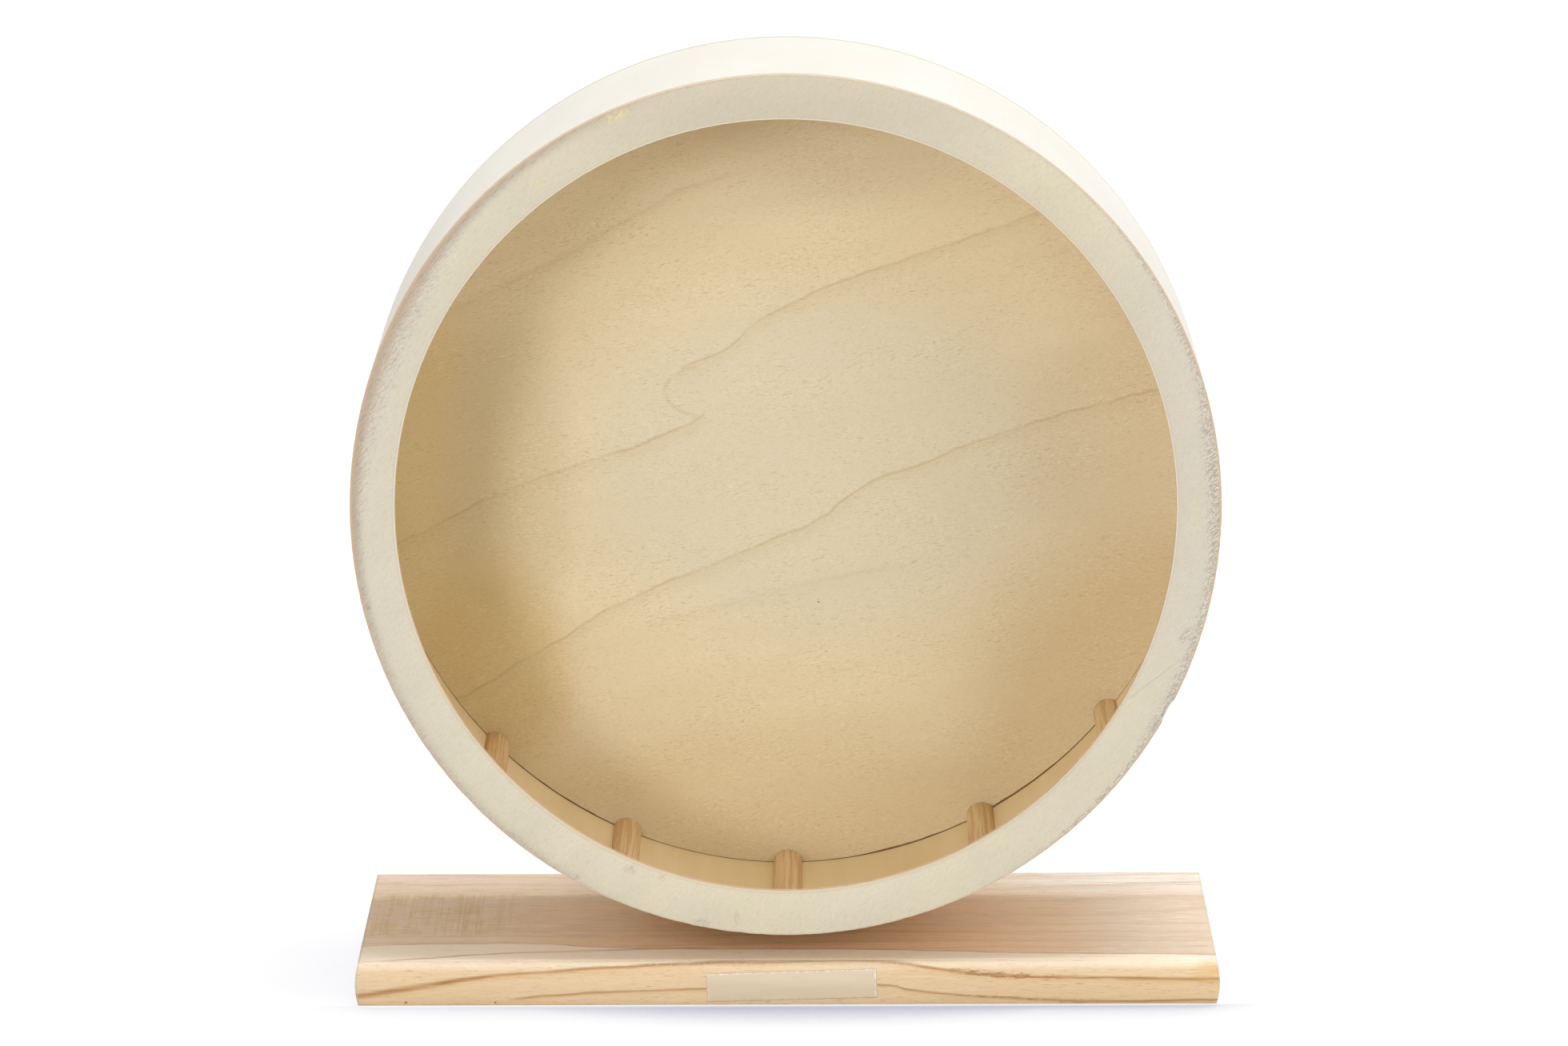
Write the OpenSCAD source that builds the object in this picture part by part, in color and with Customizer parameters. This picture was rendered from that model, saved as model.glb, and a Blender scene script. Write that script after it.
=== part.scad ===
// Rodent exercise wheel: a wooden running wheel that turns on ball bearings over a pine base board.
// Millimetres. X runs across the wheel, Y runs from front to back, Z points up.
// The origin is the centre of the underside of the base board.

/* [Wheel] */
// Outer diameter of the wheel
wheel_d = 290; // [220:1:340]
// Width of the running track between the front ring and the back disc
track_w = 102; // [60:1:140]
// Thickness of the bent track band
track_t = 3; // [2:0.5:5]
// Gap left where the two ends of the track band butt together
track_seam = 0.5; // [0.2:0.1:1.5]
// Number of the rung that covers the seam of the track band
seam_rung = 6; // [1:1:9]
// Thickness of the front ring
ring_t = 4; // [3:0.5:8]
// Radial width of the front ring
ring_w = 15; // [10:1:25]
// Thickness of the back disc
disc_t = 4; // [3:0.5:8]

/* [Rungs] */
// Number of rungs across the track
rung_count = 15; // [9:1:24]
// Width of the flat side of a rung
rung_w = 10; // [6:0.5:14]
// Height of a rung above its flat side
rung_h = 4.4; // [2:0.1:6]
// Angle of the first rung from straight down, positive to the right
rung_start = -45; // [-60:1:0]
// Hand-laid drift of each rung from even spacing, in degrees
rung_drift = [0, -2, -3, 1, 0, 2, 1, 0, -2, -3, -5, -6, -7, -9, -10];
// Glue gap at the flat side and at each end of a rung
rung_glue = 0.05; // [0.02:0.01:0.2]

/* [Base board] */
// Length of the base board, across the wheel
base_l = 290; // [240:1:360]
// Thickness of the base board
base_t = 15; // [12:0.5:25]
// Height of the crown on the moulded edges of the base board
base_crown = 2.2; // [1:0.1:4]
// Depth of the base board behind the upright
base_rear = 12.4; // [8:0.1:40]
// Set-back of the wheel from the front edge of the base board
wheel_setback = 1; // [0:0.5:20]
// Running clearance between the wheel and the base board
wheel_lift = 9; // [4:0.5:20]

/* [Label] */
// Length of the film sticker
label_l = 57; // [30:1:90]
// Height of the film sticker
label_h = 10; // [6:0.5:10]
// Thickness of the film sticker
label_t = 0.1; // [0.05:0.01:0.3]
// Distance of the sticker to the right of the middle
label_x = 1.5; // [-20:0.5:20]
// Distance of the middle of the sticker below the middle of the edge
label_drop = 0.7; // [0:0.1:1]
// Glue gap under the sticker
film_gap = 0.02; // [0.01:0.01:0.05]
// Tilt of the sticker, right end up, in degrees
label_tilt = 1.5; // [0:0.1:3]

/* [Upright] */
// Width of the upright at its foot
foot_w = 100; // [70:1:140]
// Radius of the rounded head of the upright
head_r = 28; // [18:1:40]
// Radial clearance of a bearing in the bore of the upright
seat_gap = 0.02; // [0.01:0.01:0.05]

/* [Wood screws] */
// Number of screws from the base board into the upright
screw_count = 3; // [2:1:4]
// Distance between two neighbouring screws
screw_pitch = 32; // [20:1:34]
// Shank diameter of a screw
screw_d = 4; // [3:0.5:5]
// Head diameter of a screw
screw_head_d = 8; // [7:0.5:10]
// Length of a screw
screw_l = 40; // [25:1:50]
// Depth of the screw heads above the underside
screw_sink = 0.5; // [0.3:0.1:2]
// Radial clearance of a screw in its hole
screw_gap = 0.05; // [0.02:0.01:0.2]

/* [Bearings] */
// Outer diameter of a bearing
bearing_d = 22; // [21:0.5:24]
// Width of a bearing
bearing_w = 7; // [6.5:0.5:9]
// Diameter of a bearing ball
ball_d = 3.969; // [3.5:0.001:4.2]
// Number of balls in a bearing
ball_count = 7; // [5:1:8]
// Clearance between a ball and its raceways
ball_gap = 0.03; // [0.02:0.01:0.05]
// Clearance between a ball and its pocket in the cage
pocket_gap = 0.07; // [0.05:0.01:0.12]
// Distance of the shoulders of the races from the circle of the ball centres
shoulder_h = 1.45; // [1.2:0.05:1.7]
// Radial width of the cage
cage_t = 1.5; // [1:0.1:1.6]
// Thickness of the cage beside a ball
cage_wall = 0.28; // [0.2:0.02:0.4]
// Thickness of a bearing shield
shield_t = 0.3; // [0.2:0.05:0.4]
// Depth of a shield below the side face of the bearing
shield_inset = 0.3; // [0.1:0.05:0.4]
// Radial clearance between a shield and the inner race
shield_gap = 0.2; // [0.15:0.01:0.3]
// Thickness of the spacer ring between the inner races
spacer_t = 1; // [0.5:0.1:5]

/* [Axle] */
// Diameter of the axle bolt
bolt_d = 8; // [6:0.5:9]
// Radial clearance of the bolt in the bearings and rings
bolt_fit = 0.02; // [0.01:0.01:0.05]
// Distance across the flats of the bolt head and the nut
hex_af = 13; // [11:0.5:15]
// Height of the bolt head
bolt_head_h = 5.3; // [4:0.1:7]
// Length of the bolt that stands out of the nut
bolt_end = 1.8; // [0.5:0.1:6]
// Diameter of the hub block
hub_d = 60; // [40:1:90]
// Thickness of the hub block
hub_t = 10; // [9:0.5:20]
// Clearance of the bolt head in its pocket
hub_play = 0.1; // [0.05:0.05:0.3]
// Radial clearance of the bolt in the hub block
hub_bore_gap = 0.1; // [0.05:0.05:0.4]
// Outer diameter of the washers and the spacer ring
washer_d = 12; // [11:0.1:12]
// Thickness of a washer
washer_t = 1.6; // [1:0.1:3]
// Height of the lock nut
nut_h = 8; // [7:0.1:10]
// Outer diameter of the round collar on the lock nut
collar_d = 11.7; // [10:0.1:12.5]
// Height of the round collar on the lock nut
collar_h = 2; // [1.5:0.1:3]
// Thickness of the wall of the collar
collar_wall = 0.5; // [0.3:0.1:0.6]
// Radial clearance of the insert ring in the collar, and of a shield in its step
insert_gap = 0.03; // [0.02:0.01:0.05]

/* [Hidden] */
$fn = 96;
wheel_r = wheel_d / 2;
track_in_r = wheel_r - track_t;
ring_in_r = wheel_r - ring_w;
axle_z = base_t + wheel_lift + wheel_r;

// Stations along the axle, counted from the front face of the wheel
track_y = ring_t;
disc_y = track_y + track_w;
hub_y = disc_y + disc_t;
hub_washer_y = hub_y + hub_t;
upright_y = hub_washer_y + washer_t;
spacer_y = upright_y + bearing_w;
rear_bearing_y = spacer_y + spacer_t;
rear_washer_y = rear_bearing_y + bearing_w;
nut_y = rear_washer_y + washer_t;
bolt_end_y = nut_y + nut_h + bolt_end;

upright_t = 2 * bearing_w + spacer_t;
base_w = wheel_setback + upright_y + upright_t + base_rear;
front_y = wheel_setback - base_w / 2;
crown_r = (pow(base_t / 2, 2) + pow(base_crown, 2)) / (2 * base_crown);

rung_r = (pow(rung_w / 2, 2) + pow(rung_h, 2)) / (2 * rung_h);
rung_seat = sqrt(pow(track_in_r - rung_glue, 2) - pow(rung_w / 2, 2));

screw_head_h = (screw_head_d - screw_d) / 2;
screw_tip_l = screw_d;
screw_y = front_y + upright_y + upright_t / 2;
drive_w = screw_head_d / 8;
drive_depth = screw_head_h * 0.8;

bore_r = bolt_d / 2 + bolt_fit;
ball_r = ball_d / 2;
pitch_r = (bearing_d + 2 * bore_r) / 4;
groove_r = ball_r + ball_gap;
race_in_r = pitch_r - shoulder_h;
race_out_r = pitch_r + shoulder_h;
cage_l = ball_d + 2 * cage_wall;
shield_lip = (bearing_d / 2 - race_out_r) / 4;
shield_seat = shield_inset + shield_t;

hex_r = hex_af / 2 / cos(30);
pocket_depth = bolt_head_h + hub_play;
collar_r = collar_d / 2;
insert_r = collar_r - collar_wall;
insert_floor = nut_h - collar_h;
insert_top = nut_h - collar_wall;

wood_edge = 1;
nut_chamfer = 0.6;
cut = 1;

plywood_colour = [0.82, 0.72, 0.56];
rung_colour = [0.73, 0.59, 0.38];
pine_colour = [0.87, 0.77, 0.62];
steel_colour = [0.66, 0.67, 0.69];
cage_colour = [0.30, 0.30, 0.32];
film_colour = [0.82, 0.75, 0.64];
insert_colour = [0.92, 0.92, 0.90];

function two_digits(i) = str(i < 10 ? "0" : "", i);
function rung_name(i) = str("rung_", two_digits(i));
function drift(i) = i <= len(rung_drift) ? rung_drift[i - 1] : 0;
function rung_angle(i) = rung_start + (i - 1) * 360 / rung_count + drift(i);

// Point where the line from [x, 0] touches a circle of radius r round [0, z], on the outer side
function touch_point(x, z, r) =
    let (a = atan2(-z, x) + acos(r / norm([x, z])))
    [r * cos(a), z + r * sin(a)];

// Puts a shape that is built along +Z on the axle line: station 0 is the front face of the wheel,
// and +Y of the shape points straight down
module on_axle(station) {
    translate([0, front_y + station, axle_z]) rotate([-90, 0, 0]) children();
}

// Flat ring between two radii
module ring(r_out, r_in, h) {
    difference() {
        cylinder(r = r_out, h = h);
        translate([0, 0, -cut]) cylinder(r = r_in, h = h + 2 * cut);
    }
}

// Hexagonal prism with its corners bevelled at one or both ends
module bevelled_hex(h, bevel_low, bevel_high) {
    intersection() {
        cylinder(r = hex_r, h = h, $fn = 6);
        rotate_extrude() polygon([
            [0, 0], [hex_r - bevel_low, 0], [hex_r, bevel_low / 2],
            [hex_r, h - bevel_high / 2], [hex_r - bevel_high, h], [0, h]
        ]);
    }
}

// Side view of a board that is crowned at its right end
module crowned_end(length) {
    reach = length / 2 - crown_r;
    translate([reach, base_t / 2]) circle(r = crown_r);
    translate([-length / 2 - cut, -cut]) square([length / 2 + cut + reach, base_t + 2 * cut]);
}

// Side view of a board that is crowned at both ends
module crowned_profile(length) {
    intersection() {
        crowned_end(length);
        mirror([1, 0]) crowned_end(length);
    }
}

// Centre line of each wood screw
module at_screws() {
    for (i = [0 : screw_count - 1])
        translate([(i - (screw_count - 1) / 2) * screw_pitch, screw_y, 0]) children();
}

// Wood screw, head down, grown all round by gap
module screw_form(gap) {
    translate([0, 0, screw_sink]) {
        cylinder(r1 = screw_head_d / 2 + gap, r2 = screw_d / 2 + gap, h = screw_head_h);
        cylinder(r = screw_d / 2 + gap, h = screw_l - screw_tip_l + gap);
        translate([0, 0, screw_l - screw_tip_l + gap])
            cylinder(r1 = screw_d / 2 + gap, r2 = screw_d / 8, h = screw_tip_l);
    }
}

module base_board() {
    color(pine_colour) difference() {
        intersection() {
            translate([-base_l / 2, -base_w / 2, 0]) cube([base_l, base_w, base_t]);
            translate([0, base_w / 2 + cut, 0]) rotate([90, 0, 0])
                linear_extrude(base_w + 2 * cut) crowned_profile(base_l);
            translate([-base_l / 2 - cut, 0, 0]) rotate([90, 0, 90])
                linear_extrude(base_l + 2 * cut) crowned_profile(base_w);
        }
        at_screws() {
            screw_form(screw_gap);
            translate([0, 0, -cut]) cylinder(r = screw_head_d / 2 + screw_gap, h = screw_sink + cut);
        }
    }
}

// Film sticker that follows the crown of the front edge
module label_sticker() {
    film_r = crown_r + film_gap;
    color(film_colour) translate([label_x, -base_w / 2, base_t / 2]) intersection() {
        translate([-label_l, crown_r, 0]) rotate([0, 90, 0])
            ring(film_r + label_t, film_r, 2 * label_l);
        translate([0, 0, -label_drop]) rotate([0, -label_tilt, 0])
            cube([label_l, base_t, label_h], center = true);
    }
}

module upright_board() {
    rise = axle_z - base_t;
    right = touch_point(foot_w / 2, rise, head_r);
    color(pine_colour) difference() {
        translate([0, front_y + upright_y + upright_t, base_t]) rotate([90, 0, 0])
            linear_extrude(upright_t) {
                polygon([[-foot_w / 2, 0], [foot_w / 2, 0], right, [-right[0], right[1]]]);
                translate([0, rise]) circle(r = head_r);
            }
        on_axle(upright_y - cut) cylinder(r = bearing_d / 2 + seat_gap, h = upright_t + 2 * cut);
        at_screws() screw_form(screw_gap);
    }
}

module upright_screws() {
    color(steel_colour) at_screws() difference() {
        screw_form(0);
        for (turn = [0, 90]) rotate([0, 0, turn])
            translate([-screw_head_d / 4, -drive_w / 2, screw_sink - cut])
                cube([screw_head_d / 2, drive_w, drive_depth + cut]);
    }
}

module front_ring() {
    color(plywood_colour) on_axle(0) ring(wheel_r, ring_in_r, ring_t);
}

module track_band() {
    color(plywood_colour) on_axle(track_y) difference() {
        ring(wheel_r, track_in_r, track_w);
        rotate([0, 0, -rung_angle(seam_rung)])
            translate([-track_seam / 2, track_in_r - rung_w, -cut])
                cube([track_seam, rung_w + track_t + cut, track_w + 2 * cut]);
    }
}

module back_disc() {
    color(plywood_colour) on_axle(disc_y) cylinder(r = wheel_r, h = disc_t);
}

// Half-round rung, its flat side on the inner face of the track
module rung(i) {
    color(rung_colour) on_axle(track_y + rung_glue) rotate([0, 0, -rung_angle(i)])
        intersection() {
            translate([0, rung_seat - rung_h + rung_r, 0])
                cylinder(r = rung_r, h = track_w - 2 * rung_glue);
            translate([-rung_w, rung_seat - 2 * rung_h, -cut])
                cube([2 * rung_w, 2 * rung_h, track_w + 2 * cut]);
        }
}

module hub_block() {
    color(plywood_colour) on_axle(hub_y) difference() {
        union() {
            cylinder(r = hub_d / 2, h = hub_t - wood_edge);
            translate([0, 0, hub_t - wood_edge])
                cylinder(r1 = hub_d / 2, r2 = hub_d / 2 - wood_edge, h = wood_edge);
        }
        translate([0, 0, -cut]) cylinder(r = hex_r + hub_play, h = pocket_depth + cut, $fn = 6);
        cylinder(r = bolt_d / 2 + hub_bore_gap, h = hub_t + cut);
    }
}

module axle_bolt() {
    shank_y = hub_y + pocket_depth;
    shank_l = bolt_end_y - shank_y;
    tip = bolt_end / 2;
    color(steel_colour) {
        on_axle(hub_y + hub_play) bevelled_hex(bolt_head_h, nut_chamfer, 0);
        on_axle(shank_y - cut) cylinder(r = bolt_d / 2, h = shank_l - tip + cut);
        on_axle(bolt_end_y - tip) cylinder(r1 = bolt_d / 2, r2 = bolt_d / 2 - tip, h = tip);
    }
}

module hub_washer() {
    color(steel_colour) on_axle(hub_washer_y) ring(washer_d / 2, bore_r, washer_t);
}

module bearing_spacer() {
    color(steel_colour) on_axle(spacer_y) ring(washer_d / 2, bore_r, spacer_t);
}

module rear_washer() {
    color(steel_colour) on_axle(rear_washer_y) ring(washer_d / 2, bore_r, washer_t);
}

module lock_nut() {
    color(steel_colour) on_axle(nut_y) difference() {
        union() {
            bevelled_hex(insert_floor, nut_chamfer, nut_chamfer);
            cylinder(r = collar_r, h = nut_h);
        }
        translate([0, 0, -cut]) cylinder(r = bore_r, h = nut_h + 2 * cut);
        translate([0, 0, insert_floor]) cylinder(r = insert_r, h = nut_h);
    }
}

module lock_nut_insert() {
    color(insert_colour) on_axle(nut_y + insert_floor)
        ring(insert_r - insert_gap, bore_r, insert_top - insert_floor);
}

// Outer race: a raceway groove, and a step at each side that holds a shield
module outer_race(station) {
    color(steel_colour) on_axle(station) rotate_extrude() difference() {
        translate([race_out_r, 0]) square([bearing_d / 2 - race_out_r, bearing_w]);
        translate([pitch_r, bearing_w / 2]) circle(r = groove_r);
        for (low = [-cut, bearing_w - shield_seat])
            translate([race_out_r - cut, low]) square([shield_lip + cut, shield_seat + cut]);
    }
}

module inner_race(station) {
    color(steel_colour) on_axle(station) rotate_extrude() difference() {
        translate([bore_r, 0]) square([race_in_r - bore_r, bearing_w]);
        translate([pitch_r, bearing_w / 2]) circle(r = groove_r);
    }
}

module at_balls() {
    for (i = [0 : ball_count - 1])
        rotate([0, 0, i * 360 / ball_count]) translate([pitch_r, 0, bearing_w / 2]) children();
}

module balls(station) {
    color(steel_colour) on_axle(station) at_balls() sphere(r = ball_r);
}

module cage(station) {
    color(cage_colour) on_axle(station) difference() {
        translate([0, 0, (bearing_w - cage_l) / 2])
            ring(pitch_r + cage_t / 2, pitch_r - cage_t / 2, cage_l);
        at_balls() rotate([0, 90, 0])
            cylinder(r = ball_r + pocket_gap, h = 2 * cage_t, center = true);
    }
}

module shields(station) {
    color(steel_colour) for (low = [shield_inset, bearing_w - shield_seat])
        on_axle(station + low) ring(race_out_r + shield_lip - insert_gap, race_in_r + shield_gap, shield_t);
}

base_board();
label_sticker();
upright_board();
upright_screws();
front_ring();
track_band();
back_disc();
hub_block();
axle_bolt();
hub_washer();
outer_race(upright_y);  // front_bearing_outer_race
inner_race(upright_y);  // front_bearing_inner_race
balls(upright_y);  // front_bearing_balls
cage(upright_y);  // front_bearing_cage
shields(upright_y);  // front_bearing_shields
bearing_spacer();
outer_race(rear_bearing_y);  // rear_bearing_outer_race
inner_race(rear_bearing_y);  // rear_bearing_inner_race
balls(rear_bearing_y);  // rear_bearing_balls
cage(rear_bearing_y);  // rear_bearing_cage
shields(rear_bearing_y);  // rear_bearing_shields
rear_washer();
lock_nut();
lock_nut_insert();
for (i = [1 : rung_count])
    rung(i);
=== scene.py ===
from math import atan2, cos, degrees, hypot, pi, radians, sin, sqrt

import bmesh
import bpy
from mathutils import Matrix, Vector, noise


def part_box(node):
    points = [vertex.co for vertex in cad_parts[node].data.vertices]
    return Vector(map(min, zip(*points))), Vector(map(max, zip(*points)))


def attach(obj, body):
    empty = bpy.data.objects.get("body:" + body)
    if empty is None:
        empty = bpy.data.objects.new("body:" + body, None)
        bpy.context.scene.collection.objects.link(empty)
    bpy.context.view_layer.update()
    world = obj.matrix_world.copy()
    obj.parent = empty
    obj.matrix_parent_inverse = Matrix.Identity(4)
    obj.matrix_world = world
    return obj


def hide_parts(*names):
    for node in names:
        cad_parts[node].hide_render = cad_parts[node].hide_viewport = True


# Rodent exercise wheel. Metres, X across the wheel, Y from front to back, Z up,
# with the origin in the middle of the underside of the base board.
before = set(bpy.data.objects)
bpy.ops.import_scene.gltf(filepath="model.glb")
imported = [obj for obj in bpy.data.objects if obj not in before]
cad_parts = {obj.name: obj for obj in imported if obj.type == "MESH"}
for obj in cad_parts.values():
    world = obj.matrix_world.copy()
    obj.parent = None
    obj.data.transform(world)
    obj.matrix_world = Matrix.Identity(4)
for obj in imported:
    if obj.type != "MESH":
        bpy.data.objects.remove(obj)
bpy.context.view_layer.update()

MM = 0.001

# The wheel turns about a line along +Y through this height
ring_low, ring_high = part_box("front_ring")
AXLE = Vector((0, 0, (ring_low.z + ring_high.z) / 2))
WHEEL_R = (ring_high.x - ring_low.x) / 2
RING_W = 15 * MM
RING_INNER_R = WHEEL_R - RING_W
TRACK_T = 3 * MM
TRACK_INNER_R = WHEEL_R - TRACK_T
TURN_STEPS = 720
SMOOTH_BELOW = radians(35)
# How far a cutting tool stands out past the face that it cuts
OVERCUT = 1 * MM

# Camera, as the picture was taken: long lens, a little above the wheel
IMAGE_W = 1960
FOCAL_PX = 11500
CAMERA_PLACE = Vector((8.9, -3089.8, 674.1)) * MM
CAMERA_YAW = -0.18
CAMERA_DOWN = 9.6
CAMERA_ROLL = 0.2

# Soft light: the brightness that each source gives to a white sheet that faces it.
# The sky is a little warm and the lamps a little cool, so that together they are white.
SKY_LEVEL = 0.35
SKY_TINT = (1.1, 0.98, 0.78)
LAMP_TINT = (0.96, 1, 1.06)
# Lamps: name, direction of the light, brightness, and the angle that the source fills
LAMPS = (
    ("top", (-0.19, 0.03, -1), 0.42, 22), ("wide_top", (-0.3, 0, -1), 0.24, 55),
    ("key", (0.31, 1, -0.12), 0.2, 10), ("side", (0.6, 1, -0.14), 0.08, 20),
    ("high", (0.3, 1, -0.43), 0.1, 12), ("fill", (-0.7, 1, -0.33), 0.16, 26),
    ("steep", (-0.9, 1, -0.9), 0.04, 24)
)

# The floor is pale paper; what the camera sees of it is lifted to white, its shadows with it
FLOOR_TONE = (0.76, 0.76, 0.77)
FLOOR_SEEN = (0.205, 0.195, 0.125)
FLOOR_LIFT = (0.825, 0.835, 0.905)
# painted contact shadow: the lavender tone that the lift dims to just in front of the base
CONTACT_SHADE_TONE = (0.27, 0.29, 0.46)
CONTACT_REACH = 45 * MM


# Helpers for shapes

def station(node):
    """Front and back of a node along the axle."""
    low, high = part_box(node)
    return low.y, high.y


def from_down(point):
    """Angle of a point round the axle in degrees, 0 straight down and positive to the right."""
    return degrees(atan2(point.x, AXLE.z - point.z))


def radius_of(point):
    return hypot(point.x, point.z - AXLE.z)


def set_radius(vert, radius):
    grow = radius / radius_of(vert.co)
    vert.co.x *= grow
    vert.co.z = AXLE.z + (vert.co.z - AXLE.z) * grow


def shift(bm, vec, verts=None):
    bmesh.ops.translate(bm, vec=vec, verts=bm.verts if verts is None else verts)


def turn(bm, angle, axis, cent=(0, 0, 0)):
    """Turns a shape by an angle in degrees."""
    bmesh.ops.rotate(bm, cent=cent, matrix=Matrix.Rotation(radians(angle), 3, axis), verts=bm.verts)


def whole(bm):
    return bm.verts[:] + bm.edges[:] + bm.faces[:]


def chain(bm, points, closed=True):
    """A few vertices joined by edges."""
    verts = [bm.verts.new(p) for p in points]
    ends = verts[1:] + verts[:1] if closed else verts[1:]
    edges = [bm.edges.new(pair) for pair in zip(verts, ends)]
    return verts + edges


def tidy(bm):
    """Merges the seams and poles, then points the faces outwards."""
    bmesh.ops.remove_doubles(bm, verts=bm.verts, dist=0.002 * MM)
    bmesh.ops.recalc_face_normals(bm, faces=bm.faces)
    return bm


def turned(profile, steps=TURN_STEPS, closed=True):
    """A profile of (radius, station) points, turned once about the axle."""
    bm = bmesh.new()
    geom = chain(bm, [AXLE + Vector((r, y, 0)) for r, y in profile], closed)
    bmesh.ops.spin(
        bm, geom=geom, cent=AXLE, axis=(0, 1, 0), angle=2 * pi, steps=steps, use_merge=True
    )
    return tidy(bm)


def soften(bm, width, segments=2, sharper_than=30, only=None):
    """Rounds off the sharp edges."""
    edges = [
        e for e in bm.edges
        if len(e.link_faces) == 2 and degrees(e.calc_face_angle(0)) > sharper_than
        and (only is None or only(e))
    ]
    bmesh.ops.bevel(
        bm, geom=edges, offset=width, offset_type="OFFSET", affect="EDGES",
        segments=segments, profile=0.5, material=-1, clamp_overlap=True
    )
    bmesh.ops.recalc_face_normals(bm, faces=bm.faces)
    return bm


def slice_at(bm, axis, places):
    """Cuts a block at places along an axis, so that it can be shaped."""
    normal = Vector((0, 0, 0))
    normal[axis] = 1
    for place in places:
        bmesh.ops.bisect_plane(bm, geom=whole(bm), plane_co=normal * place, plane_no=normal)


def slice_up(bm, axis, low, high, parts):
    """Cuts a block into equal slices."""
    slice_at(bm, axis, [low + (high - low) * i / parts for i in range(1, parts)])


def extrude_back(bm, faces, depth):
    """Makes a flat face a solid, depth towards the back."""
    grown = bmesh.ops.extrude_face_region(bm, geom=faces)["geom"]
    shift(bm, (0, depth, 0), [v for v in grown if isinstance(v, bmesh.types.BMVert)])
    return tidy(bm)


def close_ends(bm):
    """Fills the open ends of a shape."""
    open_edges = [e for e in bm.edges if len(e.link_faces) == 1]
    bmesh.ops.holes_fill(bm, edges=open_edges, sides=0)
    return tidy(bm)


def block(low, high):
    bm = bmesh.new()
    bmesh.ops.create_cube(bm, size=1)
    bmesh.ops.scale(bm, vec=high - low, verts=bm.verts)
    shift(bm, (low + high) / 2)
    return bm


def rod(radius, front, back, steps=96):
    """Round bar along the axle."""
    return turned(((0, front), (radius, front), (radius, back), (0, back)), steps, closed=False)


def hex_prism(across_flats, front, back):
    """Six-sided bar along the axle, a corner pointing along X."""
    bm = bmesh.new()
    corner = across_flats / sqrt(3)
    bmesh.ops.create_cone(
        bm, cap_ends=True, segments=6, radius1=corner, radius2=corner, depth=back - front
    )
    turn(bm, 30, "Z")
    turn(bm, -90, "X")
    shift(bm, AXLE + Vector((0, (front + back) / 2, 0)))
    return tidy(bm)


def piece(bm, name):
    """Makes an object from a bmesh, smooth where its faces meet at a low angle."""
    mesh = bpy.data.meshes.new(name)
    bm.to_mesh(mesh)
    bm.free()
    mesh.shade_smooth()
    mesh.set_sharp_from_angle(angle=SMOOTH_BELOW)
    made = bpy.data.objects.new(name, mesh)
    bpy.context.scene.collection.objects.link(made)
    return made


def carve(body, tool, operation="DIFFERENCE"):
    """Cuts one shape with another, and keeps the result as plain mesh."""
    cutter = piece(tool, body.name + "_tool")
    cut = body.modifiers.new("cut", "BOOLEAN")
    cut.operation = operation
    cut.solver = "EXACT"
    cut.object = cutter
    shaped = bpy.data.meshes.new_from_object(
        body.evaluated_get(bpy.context.evaluated_depsgraph_get())
    )
    body.modifiers.clear()
    body.data = shaped
    bpy.data.objects.remove(cutter)
    body.data.set_sharp_from_angle(angle=SMOOTH_BELOW)


def cover(made, material):
    made.data.materials.clear()
    made.data.materials.append(material)


def dress(made, body, slot, material, *nodes):
    """Lets a piece ride on its body, in place of its CAD nodes, with its finish on."""
    cover(made, material)
    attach(made, body)
    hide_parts(*nodes)


def mark_grain(bm, place):
    """Stores where each point lies in the wood, in millimetres: along, across, through."""
    layer = bm.verts.layers.float_vector.new("grain")
    for vert in bm.verts:
        vert[layer] = place(vert.co)


# Helpers for materials

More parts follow.
